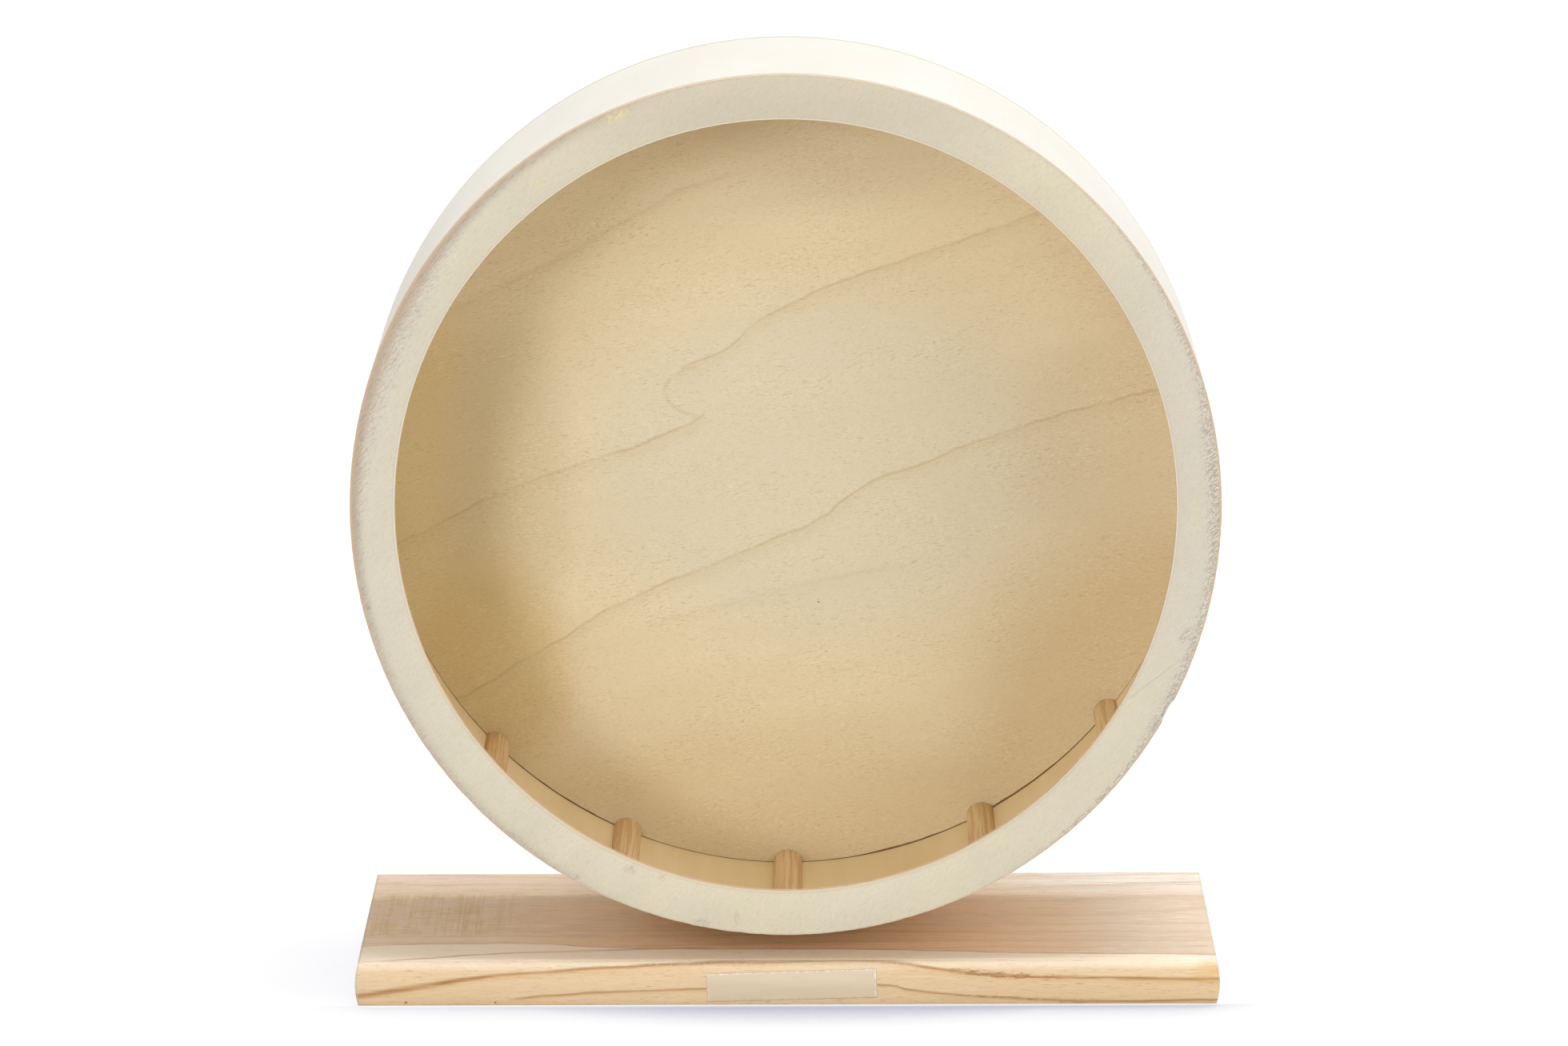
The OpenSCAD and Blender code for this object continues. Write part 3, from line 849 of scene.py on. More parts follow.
def rung_wood():
    """Half-round moulding of a resinous softwood, with darker grain, small cracks, and a darker foot
    that is partly glue and partly painted shade.
    """
    material, s, shader = new_material("rung_wood", 0.55)
    where = s.grain()
    along, across, through = s.split(where)
    sway = s.stretched(where, (0.02, 0.2, 0.2), 2)
    moved = s.math("MULTIPLY_ADD", sway, 2.2, across)
    wood = s.join(along, moved, through)
    stripes = s.noise(s.join(s.times(along, 0.012), s.times(moved, 0.75), s.times(through, 0.5)))
    marks = s.fibres(wood, 9, 0.35, 0.6)
    cracks = s.fibres(wood, 7, 0.6, 0.18)
    colour = s.mix(s.span(stripes, 0.38, 0.62), (0.84, 0.63, 0.37), (0.68, 0.46, 0.235))
    colour = s.coats(
        colour,
        ((0.4, 0.23, 0.1), marks["Dark"], 0.4),
        ((0.82, 0.66, 0.43), marks["Light"], 0.25),
        ((0.2, 0.11, 0.05), cracks["Dark"], 0.8)
    )
    # darker along the foot of the rung where it sits on the track: partly glue, partly painted contact
    # shade
    glue_and_contact_shade = s.fall(through, 0.2, 1.3)
    colour = s.lay(colour, (0.44, 0.26, 0.12), glue_and_contact_shade, 0.45)
    finish(
        s, shader, colour, s.span(stripes, 0.3, 0.7, 0.5, 0.62),
        s.less(marks["Height"], cracks["Dark"]), 0.12, 0.5
    )
    return material


# Dark growth lines on the front edge of the base board: (x, z) in millimetres
FRONT_LINE_ARCH = (
    (-146, 3.6), (-132, 5.6), (-119, 7.4), (-107, 9.4), (-87, 11.5), (-56, 13.2), (-36, 14),
    (4, 14.8), (24, 14.9), (37, 14.2), (55, 11.9), (80, 10), (111, 9.3), (146, 8.8)
)
FRONT_LINE_LOW = (
    (-96, 1.4), (-77, 3.8), (-56, 5), (-29, 5.7), (29, 7.3), (40, 5.4), (60, 3.2), (85, 1.9),
    (100, 1.1), (146, 1.6)
)
# Growth lines on its top face: (x, y), with a band of painted light between the first and the front
# edge, where the top lies in front of the wheel's shadow
TOP_LINE_BAND = (
    (-146, -52), (-96, -44), (-65, -50), (-28, -54), (15, -54), (55, -58), (78, -61), (108, -63),
    (146, -65)
)
TOP_LINE_FRONT = ((-146, -73), (-123, -68), (-96, -60), (-65, -56), (-39, -53), (-20, -53))
TOP_LINE_MIDDLE = ((-146, -30), (-60, -24), (30, -25), (90, -33), (146, -38))


def base_pine():
    """Knot-free pine of the base board: yellow at its front edge, pinkish cream on top."""
    material, s, shader = new_material("base_pine", 0.6)
    here = s.millimetres()
    x, y, z = s.split(here)
    # place in the board before its edges were moulded, so that each face has its own grain
    square_x, square_y = s.split(s.grain())[:2]
    half_l, half_w = BASE_HIGH.x / MM, BASE_HIGH.y / MM
    rings = s.use(YEAR_RINGS, Vector=here, PithY=18, PithZ=-95, Spacing=5.4)
    wood = s.join(x, y, s.times(z, 2))
    fine = s.fibres(wood, 16, 0.5, 0.6)
    ducts = s.fibres(wood, 3.4, 0.42, 0.42)
    streaks = s.cloud(wood, 150, 1.6)
    clouds = s.cloud(wood, 90, 30)

    # front edge
    wave = s.stretched(here, (0.05, 0.3, 0.3), 3)
    height = s.plus(z, s.math("MULTIPLY_ADD", wave, 1.2, -0.6))
    coarse = s.times(s.span(x, 50, 62), s.fall(x, 84, 96))
    ragged = s.span(s.stretched(here, (0.35, 0.3, 1.2), 3, 0.7), 0.42, 0.6)
    widened = s.plus(s.times(coarse, ragged), s.span(x, -125, -95, 0.8, 0))
    width = s.math("MULTIPLY_ADD", widened, 1, 0.85)
    arch = s.growth(height, s.line(x, FRONT_LINE_ARCH), width, 2.8)
    low_coarse = s.times(s.span(x, 88, 91), s.fall(x, 102, 106), ragged)
    lower = s.growth(height, s.line(x, FRONT_LINE_LOW), s.math("MULTIPLY_ADD", low_coarse, 0.9, 0.75), 2)
    low_starts = s.span(x, -96, -86)
    dark = s.most(arch["Core"], s.times(lower["Core"], low_starts, 0.85))
    soft = s.most(arch["Side"], s.times(lower["Side"], low_starts, 0.8))
    depth_tone = s.span(s.stretched(here, (0.03, 0.2, 0.4), 3), 0.3, 0.7, 0.55, 1)
    front = s.mix(s.times(clouds, 0.6), (0.73, 0.55, 0.335), (0.67, 0.48, 0.28))
    front = s.mix(s.span(z, 11.2, 14.6), front, (0.86, 0.72, 0.53))
    front = s.coats(
        front,
        ((0.6, 0.36, 0.13), soft, 0.55),
        ((0.36, 0.17, 0.045), dark, depth_tone),
        ((0.22, 0.11, 0.05), dark, coarse, ragged, 0.6)
    )
    flecks = s.fibres(wood, 5, 0.5, 0.5)["Dark"]
    front = s.lay(front, (0.42, 0.22, 0.08), flecks, 0.75)
    resin = s.times(s.spot(here, (142, 11), (8, 5)), s.span(wave, 0.3, 0.6, 0.3, 1))
    front = s.lay(front, (0.66, 0.37, 0.12), resin, 0.45)
    smudge = s.times(s.spot(here, (-92, 2.9), (2.6, 0.8)), ragged)
    front = s.lay(front, (0.5, 0.33, 0.13), smudge, 0.6)
    nicks = s.most(
        s.spots(here, (-128, 1.2, 0.7, 0.5), (-98, 1.1, 0.5, 0.4)),
        s.times(s.spot(here, (-5, 1.4), (3.4, 0.5), 8), ragged)
    )
    front = s.lay(front, (0.2, 0.1, 0.05), nicks, 0.85)

    # top face, its streaks running along the board, with the wheel's shade painted into its colour:
    # warmer orange towards the middle and front under the wheel, darker at the right front, and painted
    # light on a paler right back corner
    top = s.mix(s.times(clouds, 0.8), (0.9, 0.78, 0.635), (0.86, 0.7, 0.53))
    # painted shade: warm orange under the wheel, towards the middle and the front
    middle = s.times(s.span(s.size(s.less(x, 12)), 20, 135, 1, 0.3), s.fall(y, 20, 52))
    top = s.lay(top, (1, 0.615, 0.315), middle, 0.9)
    # painted light: the lit strip behind the wheel's shadow reaches further forward at the right
    painted_lit_corner = s.times(s.span(x, 60, 105), s.span(y, 24, 50))
    top = s.lay(top, (0.94, 0.92, 0.87), painted_lit_corner, 0.9)
    # painted shadow of the wheel at the right front
    painted_shade_right = s.times(s.span(x, 92, 118), s.fall(y, 18, 50))
    top = s.coats(
        top,
        ((0.68, 0.6, 0.49), painted_shade_right, 0.75),
        ((0.79, 0.565, 0.375), streaks, 0.6),
        ((0.64, 0.44, 0.28), rings["Late"], 0.5)
    )
    dashes = s.fibres(s.join(x, y, 0), 13, 1, 0.6)
    top = s.lay(top, (0.56, 0.38, 0.23), dashes["Dark"], 0.8)
    top = s.lay(top, (1, 0.93, 0.82), dashes["Light"], 0.6)
    sway = s.plus(y, s.math("MULTIPLY_ADD", wave, 3, -1.5))
    band_line = s.line(x, TOP_LINE_BAND)
    # painted light: a paler band in front of the wheel's shadow
    painted_lit_band = s.fall(s.less(sway, band_line), -1.5, 0.8)
    top = s.lay(top, (1, 0.85, 0.69), painted_lit_band, 0.9)
    band_edge = s.growth(sway, band_line, 1.1, 0.1)["Core"]
    near_front = s.growth(sway, s.line(x, TOP_LINE_FRONT), 1.9, 0.1)["Core"]
    near_front = s.times(near_front, s.fall(x, -30, -20))
    inner = s.growth(sway, s.line(x, TOP_LINE_MIDDLE), 2, 0.1)
    lines = s.most(band_edge, near_front, s.times(inner["Core"], 0.35))
    top = s.lay(top, (0.47, 0.26, 0.11), lines, depth_tone, 0.75)

    # faint stains left across the grain at the left end
    strokes_up = s.span(s.stretched(here, (0.95, 0.012, 0.3), 2), 0.52, 0.6)
    strokes_along = s.span(s.stretched(here, (0.05, 0.55, 0.3), 2), 0.5, 0.58)
    patches = s.span(s.stretched(here, (0.16, 0.07, 0.3), 3, 0.6), 0.44, 0.58)
    strokes = s.most(s.times(strokes_up, 0.9), s.times(strokes_along, patches, 0.8))
    stain = s.times(
        s.span(x, -143, -141), s.fall(s.plus(x, wave), -110, -76),
        s.span(y, -34, -28), s.fall(y, 32, 40),
        s.most(strokes, s.times(patches, 0.3)), s.span(patches, 0, 1, 0.6, 1)
    )
    top = s.lay(top, (0.67, 0.465, 0.21), stain, 0.8)

    # the pale top runs over into the yellow edge
    at_front = s.fall(square_y, -half_w + 0.1, -half_w + 0.5)
    colour = s.mix(at_front, top, front)

    # end grain
    from_end = s.less(half_l, s.size(square_x))
    end = s.mix(rings["Late"], (0.8, 0.67, 0.5), (0.6, 0.42, 0.25))
    speckle = s.noise(here, 2.2, 2, 0.7)
    end = s.mix(s.span(speckle, 0.5, 0.7, 0, 0.35), end, (0.5, 0.36, 0.22))
    colour = s.mix(s.fall(from_end, 0.02, 0.12), colour, end)
    # painted shade: a grey line along the end arris, stronger at the left end, where the end face lies
    # in shade
    arris = s.times(s.span(from_end, 0.1, 0.3), s.fall(from_end, 0.4, 0.9))
    colour = s.lay(colour, (0.5, 0.47, 0.45), arris, s.span(x, -1, 1, 0.55, 0.15))

    colour = s.lay(colour, (0.5, 0.34, 0.18), fine["Dark"], 0.3)
    colour = s.lay(colour, (0.92, 0.82, 0.66), fine["Light"], 0.3)
    duct_depth = s.span(at_front, 0, 1, 0.75, 0.6)
    colour = s.lay(colour, (0.36, 0.2, 0.08), ducts["Dark"], duct_depth)
    to_top = s.less(BASE_HIGH.z / MM, z)
    worn = s.wear_and_sheen(here, to_top, 2.4)
    colour = s.lay(colour, (0.92, 0.82, 0.66), worn, at_front, 0.2)
    low_wear = s.wear_and_sheen(here, z, 0.5)
    colour = s.lay(colour, (0.4, 0.28, 0.17), low_wear, 0.5)
    finish(
        s, shader, colour, s.span(rings["Late"], 0, 1, 0.62, 0.5),
        s.less(fine["Height"], ducts["Dark"]), 0.14, 0.6
    )
    return material


def upright_pine():
    """Planed pine of the upright, the grain standing up."""
    material, s, shader = new_material("upright_pine", 0.6)
    here = s.millimetres()
    x, y, z = s.split(here)
    wood = s.join(z, x, y)
    rings = s.use(YEAR_RINGS, Vector=wood, PithY=-14, PithZ=-18, Spacing=6.5)
    fine = s.fibres(wood, 16, 0.5, 0.5)
    ducts = s.fibres(wood, 4, 0.4, 0.16)
    clouds = s.cloud(wood, 120, 24)
    colour = s.mix(clouds, (0.77, 0.635, 0.45), (0.7, 0.55, 0.37))
    colour = s.coats(
        colour,
        ((0.56, 0.37, 0.19), rings["Late"], 0.6),
        ((0.7, 0.53, 0.33), rings["Tone"], 0.25),
        ((0.5, 0.34, 0.18), fine["Dark"], 0.22),
        ((0.86, 0.76, 0.6), fine["Light"], 0.2),
        ((0.42, 0.25, 0.11), ducts["Dark"], 0.6)
    )
    finish(
        s, shader, colour, s.span(rings["Late"], 0, 1, 0.62, 0.5),
        s.less(fine["Height"], ducts["Dark"]), 0.12, 0.5
    )
    return material


def sticker_film():
    """Greyish clear film, blank, with a painted highlight along its lit edges, a thin painted shadow
    round them, and frayed below.
    """
    material, s, shader = new_material("sticker_film", 0.35, 0.5)
    where = s.grain()
    along, up = s.split(where)[:2]
    half_l, half_h = LABEL_SIZE.x / MM / 2, LABEL_SIZE.y / MM / 2
    side = s.less(half_l, s.size(along))
    above = s.less(half_h, up)
    below = s.plus(half_h, up)
    wood = s.join(along, up, 0)
    clouds = s.cloud(wood, 24, 4)
    fine = s.fibres(wood, 9, 0.4, 0.5)
    colour = s.mix(clouds, (0.665, 0.545, 0.385), (0.615, 0.505, 0.355))
    colour = s.lay(colour, (0.45, 0.34, 0.2), fine["Dark"], 0.12)
    # painted highlight along the top and side edges
    bright = s.most(s.wear_and_sheen(where, above, 0.7), s.wear_and_sheen(where, side, 0.9))
    colour = s.lay(colour, (0.86, 0.83, 0.76), bright, 0.8)
    # painted shade: a thin dark line round the film's edges
    nearest = s.math("MINIMUM", side, s.math("MINIMUM", above, below))
    edge_shade = s.fall(nearest, 0.1, 0.32)
    colour = s.lay(colour, (0.36, 0.26, 0.16), edge_shade, 0.7)
    frayed = s.wear_and_sheen(where, below, 0.9)
    colour = s.lay(colour, (0.46, 0.32, 0.19), frayed, 0.6)
    finish(s, shader, colour, s.span(clouds, 0, 1, 0.3, 0.45), clouds, 0.05, 0.3)
    return material


def steel(name, colour, stain, roughness):
    """Small steel part with turning lines and smudges."""
    material, s, shader = new_material(name, roughness, 0.5, 1)
    marks = s.use(METAL_MARKS, Vector=s.about_axle())
    tone = s.lay(colour, stain, marks["Smudge"], 0.6)
    tone = s.lay(tone, (0.9, 0.9, 0.9), marks["Lines"], 0.15)
    rough = s.span(marks["Smudge"], 0, 1, roughness, roughness + 0.14)
    finish(s, shader, tone, rough, marks["Lines"], 0.02, 0.3)
    return material


def plastic(name, colour, worn_colour, roughness):
    """Small moulded part with a fine matt grain."""
    material, s, shader = new_material(name, roughness, 0.5)
    here = s.millimetres()
    grain = s.noise(here, 6, 3, 0.6)
    rub = s.span(s.noise(here, 0.8, 2), 0.4, 0.7)
    finish(
        s, shader, s.lay(colour, worn_colour, rub, 0.5), s.span(rub, 0, 1, roughness, roughness - 0.1),
        grain, 0.02, 0.4
    )
    return material


# Pieces

BASE_LOW, BASE_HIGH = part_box("base_board")
BASE_CROWN = 2.2 * MM
ARRIS_R = 2.2 * MM
END_CROWN = 0.45
SCREW_SPOTS = (-32 * MM, 0, 32 * MM)
SCREW_HEAD_R = 4.05 * MM
SCREW_SHANK_R = 2.05 * MM
SCREW_DEPTH = 16 * MM


def crown_inset(z):
    """How far the moulded edge of the base board lies inside its fullest line at a height."""
    half = (BASE_HIGH.z - BASE_LOW.z) / 2
    crown_r = (half ** 2 + BASE_CROWN ** 2) / (2 * BASE_CROWN)
    return crown_r - sqrt(crown_r ** 2 - (z - BASE_LOW.z - half) ** 2)


def edge_scale(z):
    """How much the moulded edges draw the board in at a height, along its length and width.

    The long edges have a round upper arris too, and the short ones are moulded less.
    """
    above = max(0, z - (BASE_HIGH.z - ARRIS_R))
    arris = ARRIS_R - sqrt(max(0, ARRIS_R ** 2 - above ** 2))
    along = 1 - END_CROWN * crown_inset(z) / BASE_HIGH.x
    across = 1 - (crown_inset(z) + arris) / BASE_HIGH.y
    return along, across


def screw_hole():
    """Countersunk hole for a wood screw, open at the underside, round the Z axis at X 0."""
    y = sum(station("upright_screws")) / 2
    bm = bmesh.new()
    profile = (
        (0, -OVERCUT), (SCREW_HEAD_R, -OVERCUT), (SCREW_HEAD_R, 0.5 * MM),
        (SCREW_SHANK_R, 2.5 * MM), (SCREW_SHANK_R, SCREW_DEPTH), (0, SCREW_DEPTH)
    )
    geom = chain(bm, [Vector((r, y, z)) for r, z in profile], closed=False)
    bmesh.ops.spin(
        bm, geom=geom, cent=(0, y, 0), axis=(0, 0, 1), angle=2 * pi, steps=48, use_merge=True
    )
    return tidy(bm)


def base_board():
    low, high = BASE_LOW, BASE_HIGH
    bm = block(low, high)
    slice_up(bm, 2, low.z, high.z - ARRIS_R, 9)
    slice_at(bm, 2, [high.z - ARRIS_R * (1 - sin(radians(a))) for a in (0, 18, 36, 54, 72)])
    slice_up(bm, 0, low.x, high.x, 58)
    slice_up(bm, 1, low.y, high.y, 30)
    for vert in bm.verts:
        along, across = edge_scale(vert.co.z)
        vert.co.x *= along
        vert.co.y *= across
    soften(bm, 0.6 * MM, 3)

    def square(p):
        """Place in the board before its edges were moulded."""
        along, across = edge_scale(p.z)
        return Vector((p.x / along, p.y / across, p.z)) / MM
    mark_grain(bm, square)
    for vert in bm.verts:
        # hand-sanded arrises are not quite straight
        if vert.co.z > high.z - ARRIS_R and abs(vert.co.y) > high.y - 6 * MM:
            vert.co.z -= 0.18 * MM * abs(noise.noise(vert.co / (14 * MM)))
    made = piece(bm, "base")
    for x in SCREW_SPOTS:
        hole = screw_hole()
        shift(hole, (x, 0, 0))
        carve(made, hole)
    dress(made, "stand", "pine", base_pine(), "base_board")


LABEL_SIZE = Vector((57, 10, 0)) * MM
LABEL_PLACE = Vector((1.5, 0, 6.8)) * MM
LABEL_TILT = 1.5
FILM_T = 0.094 * MM
FILM_GAP = 0.02 * MM


def label():
    """Blank film sticker that follows the crown of the front edge."""
    front = BASE_LOW.y
    bm = bmesh.new()
    bmesh.ops.create_grid(bm, x_segments=76, y_segments=14, size=0.5)
    bmesh.ops.scale(bm, vec=(LABEL_SIZE.x, LABEL_SIZE.y, 1), verts=bm.verts)
    mark_grain(bm, lambda p: Vector((p.x, p.y, 0)) / MM)
    for vert in bm.verts:
        if vert.co.y < -LABEL_SIZE.y * 0.49:
            vert.co.y += 0.35 * MM * abs(noise.noise(vert.co / (1.7 * MM)))
    turn(bm, 90, "X")
    turn(bm, -LABEL_TILT, "Y")
    shift(bm, LABEL_PLACE)
    for vert in bm.verts:
        vert.co.y = front + crown_inset(vert.co.z) - FILM_GAP
    bmesh.ops.recalc_face_normals(bm, faces=bm.faces)
    if sum(f.normal.y for f in bm.faces) > 0:
        bmesh.ops.reverse_faces(bm, faces=bm.faces)
    bmesh.ops.solidify(bm, geom=bm.faces[:], thickness=-FILM_T)
    bmesh.ops.recalc_face_normals(bm, faces=bm.faces)
    made = piece(bm, "label_film")
    dress(made, "stand", "film", sticker_film(), "label_sticker")


FOOT_W = 100 * MM
HEAD_R = 28 * MM
BEARING_BORE_R = 11.02 * MM


def upright():
    """Board with a wide foot and a round head, bored for the two bearings."""
    low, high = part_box("upright_board")
    front, back = low.y, high.y
    foot = Vector((FOOT_W / 2, 0, low.z - AXLE.z))
    lean = atan2(foot.z, foot.x) + touch_angle(HEAD_R / foot.length)
    bm = bmesh.new()
    touch = bm.verts.new(AXLE + Vector((HEAD_R * cos(lean), front, HEAD_R * sin(lean))))
    bmesh.ops.spin(bm, geom=[touch], cent=AXLE, axis=(0, -1, 0), angle=pi - 2 * lean, steps=96)
    bm.verts.ensure_lookup_table()
    arc = sorted(bm.verts, key=lambda v: v.co.x)
    corners = [bm.verts.new((side * foot.x, front, low.z)) for side in (-1, 1)]
    bm.edges.new((arc[0], corners[0]))
    bm.edges.new((corners[0], corners[1]))
    bm.edges.new((corners[1], arc[-1]))
    face = bmesh.ops.contextual_create(bm, geom=bm.edges[:])["faces"]
    extrude_back(bm, face, back - front)

    def not_at_foot(edge):
        return max(v.co.z for v in edge.verts) > low.z + 0.5 * MM
    soften(bm, 1.2 * MM, 4, 50, not_at_foot)
    made = piece(bm, "upright")
    carve(made, rod(BEARING_BORE_R, front - OVERCUT, back + OVERCUT, 128))
    dress(made, "stand", "pine", upright_pine(), "upright_board")


def touch_angle(ratio):
    """Angle between the line to a point and the line that touches the head from it."""
    return atan2(sqrt(1 - ratio ** 2), ratio)


CHIP_ANGLE = 61.5
CHIP_HALF = 1.6
CHIP_DEPTH = 1.5 * MM


def front_ring():
    """Ring with sanded arrises, a ragged outer edge and one chip."""
    front, back = station("front_ring")
    bm = turned(((RING_INNER_R, front), (WHEEL_R, front), (WHEEL_R, back), (RING_INNER_R, back)))
    soften(bm, 0.4 * MM, 2)
    for vert in bm.verts:
        far = radius_of(vert.co)
        if far < WHEEL_R - 0.6 * MM:
            continue
        angle = from_down(vert.co)
        ragged = 0.22 * MM * abs(noise.noise(Vector((angle * 0.9, vert.co.y * 400, 3))))
        chip = max(0, 1 - abs(angle - CHIP_ANGLE) / CHIP_HALF)
        near_front = 1 - (vert.co.y - front) / (back - front) * 0.6
        set_radius(vert, far - ragged * near_front - CHIP_DEPTH * min(1, 1.6 * chip) * near_front)
    made = piece(bm, "ring")
    dress(made, "wheel", "pale_plywood", pale_plywood(), "front_ring")


SEAM_ANGLE = 77
SEAM_GAP = 0.5 * MM


def track():
    """Bent band, open at its seam behind a rung."""
    front, back = station("track_band")
    gap = degrees(SEAM_GAP / WHEEL_R)
    bm = bmesh.new()
    profile = ((TRACK_INNER_R, front), (WHEEL_R, front), (WHEEL_R, back), (TRACK_INNER_R, back))
    geom = chain(bm, [AXLE + Vector((0, y, -r)) for r, y in profile])
    turn(bm, gap / 2 - SEAM_ANGLE, "Y", AXLE)
    bmesh.ops.spin(
        bm, geom=geom, cent=AXLE, axis=(0, 1, 0), angle=radians(360 - gap), steps=TURN_STEPS
    )
    close_ends(bm)
    soften(bm, 0.15 * MM, 1, 50)

    def unrolled(p):
        round_it = radians((from_down(p) - SEAM_ANGLE) % 360) * WHEEL_R
        return Vector((round_it, p.y - front, radius_of(p) - TRACK_INNER_R)) / MM
    mark_grain(bm, unrolled)
    made = piece(bm, "track")
    dress(made, "wheel", "bent_plywood", bent_plywood(), "track_band")


# Gap between the face of the back disc and the track, in millimetres: (angle from down, width)
JOINT_GAPS = (
    (-180, 0.12), (-60, 0.12), (-42, 0.2), (-35, 0.36), (-29, 0.45), (-25, 0.26), (-20, 0.16),
    (-3, 0.15), (4, 0.17), (9, 0.28), (14, 0.55), (20, 0.52), (25, 0.26), (29, 0.2), (32, 0.7),
    (36, 0.55), (42, 0.3), (48, 0.2), (51, 0.08), (180, 0.08)
)
GROOVE_DEPTH = 1.1 * MM
DISC_MIDDLE_R = 90 * MM


def joint_gap(angle):
    """Width of the joint gap at an angle, between the listed places."""
    for (a, low), (b, high) in zip(JOINT_GAPS, JOINT_GAPS[1:]):
        if a <= angle <= b:
            return (low + (high - low) * (angle - a) / (b - a)) * MM
    return JOINT_GAPS[0][1] * MM


def back_disc():
    """Disc with a gap beside the track that is wider where the track stands off."""
    front, back = station("back_disc")
    lip = TRACK_INNER_R + 0.1 * MM
    gap = 0.5 * MM
    profile = (
        (0, front), (DISC_MIDDLE_R, front), (TRACK_INNER_R - gap, front),
        (TRACK_INNER_R - gap * 0.8, front + GROOVE_DEPTH), (lip, front + GROOVE_DEPTH),
        (lip, front), (WHEEL_R, front), (WHEEL_R, back), (DISC_MIDDLE_R, back), (0, back)
    )
    bm = turned(profile, closed=False)
    for vert in bm.verts:
        far = radius_of(vert.co)
        if TRACK_INNER_R - gap * 1.01 < far < TRACK_INNER_R - gap * 0.7:
            angle = from_down(vert.co)
            wide = joint_gap(angle) * (1 + 0.35 * noise.noise(Vector((angle * 0.6, 1.5, 0))))
            set_radius(vert, TRACK_INNER_R - wide)

    def is_rim(edge):
        return min(radius_of(v.co) for v in edge.verts) > WHEEL_R - 0.1 * MM
    soften(bm, 0.3 * MM, 2, 50, is_rim)
    made = piece(bm, "disc")
    dress(made, "wheel", "tan_plywood", tan_plywood(), "back_disc")


RUNG_COUNT = 15
RUNG_START = -45
RUNG_DRIFT = (0, -2, -3, 1, 0, 2, 1, 0, -2, -3, -5, -6, -7, -9, -10)
RUNG_HALF_W = 5 * MM
RUNG_H = 4.4 * MM
RUNG_R = (RUNG_HALF_W ** 2 + RUNG_H ** 2) / (2 * RUNG_H)
RUNG_GLUE = 0.05 * MM


def rung(number, material):
    """Half-round rung, flat side down on the track."""
    name = f"rung_{number:02d}"
    angle = RUNG_START + (number - 1) * 360 / RUNG_COUNT + RUNG_DRIFT[number - 1]
    front, back = station("track_band")
    front += RUNG_GLUE
    back -= RUNG_GLUE
    bm = bmesh.new()
    bmesh.ops.create_circle(bm, cap_ends=True, segments=48, radius=RUNG_R)
    turn(bm, 90, "X")
    shift(bm, (0, 0, RUNG_H - RUNG_R))
    bmesh.ops.bisect_plane(
        bm, geom=whole(bm), plane_co=(0, 0, 0), plane_no=(0, 0, 1),
        clear_inner=True
    )
    shift(bm, (0, front, 0))
    extrude_back(bm, bm.faces[:], back - front)
    soften(bm, 0.3 * MM, 2, 50)
    slice_up(bm, 1, front, back, 24)
    for vert in bm.verts:
        # planed by hand, so its height wanders a little
        if vert.co.z > 0.5 * MM:
            low_spot = abs(noise.noise(Vector((vert.co.y * 45, number * 3.1, vert.co.x * 90))))
            vert.co.z -= 0.35 * MM * low_spot * vert.co.z / RUNG_H
    mark_grain(bm, lambda p: Vector((p.y + number * 0.31, p.x + number * 0.047, p.z)) / MM)
    seat = sqrt((TRACK_INNER_R - RUNG_GLUE) ** 2 - RUNG_HALF_W ** 2)
    shift(bm, AXLE - Vector((0, 0, seat)))
    turn(bm, -angle, "Y", AXLE)
    made = piece(bm, name.replace("rung", "step"))
    dress(made, "wheel", "rung_wood", material, name)


HUB_R = 30 * MM
HUB_CHAMFER = 1 * MM
BOLT_R = 4 * MM
BORE_R = 4.02 * MM
HEX_AF = 13 * MM
HEX_CORNER_R = HEX_AF / sqrt(3)
HEX_BEVEL = 0.6 * MM
HEAD_H = 5.3 * MM
POCKET_DEPTH = 5.4 * MM
POINT_BEVEL = 0.9 * MM


def hub():
    """Round block with a pocket that holds the bolt head."""
    front, back = station("hub_block")
    bore = BOLT_R + 0.1 * MM
    bm = turned(
        ((bore, front), (HUB_R, front), (HUB_R, back - HUB_CHAMFER), (HUB_R - HUB_CHAMFER, back),
         (bore, back)), 180
    )
    soften(bm, 0.15 * MM, 2)
    made = piece(bm, "hub")
    carve(made, hex_prism(HEX_AF + 0.17 * MM, front - OVERCUT, front + POCKET_DEPTH))
    dress(made, "wheel", "tan_plywood", hub_plywood(), "hub_block")


def hub_plywood():
    """Thicker plywood of the hub block, its layers seen round the edge."""
    material, s, shader = new_material("hub_plywood", 0.62)
    here = s.millimetres()
    y = s.split(here)[1]
    front_y, back_y = (v / MM for v in station("hub_block"))
    along, through, across = s.split(s.place(here, turn=(0, -6, 0)))
    wood = s.join(along, across, through)
    marks = s.fibres(wood, 3, 0.5, 0.55)
    clouds = s.cloud(wood, 50, 9)
    colour = s.mix(clouds, (0.76, 0.64, 0.44), (0.68, 0.55, 0.35))
    colour = s.lay(colour, (0.48, 0.36, 0.2), marks["Dark"], 0.35)
    colour = s.lay(colour, (0.88, 0.78, 0.58), marks["Light"], 0.3)
    depth = s.less(y, front_y)
    layer = s.math("FRACT", s.over(depth, (back_y - front_y) / 2.5))
    edge = s.cut_edge(
        here, layer, 1, ((0.78, 0.68, 0.5), (0.55, 0.41, 0.25)), (0.34, 0.22, 0.12), core=0.55
    )
    rim = HUB_R / MM
    colour = s.mix(s.span(s.from_axle(), rim - 0.9, rim - 0.6), colour, edge)
    finish(s, shader, colour, s.span(marks["Dark"], 0, 1, 0.6, 0.72), marks["Height"], 0.12, 0.5)
    return material


THREAD_PITCH = 1.25 * MM
THREAD_DEPTH = 0.72 * MM


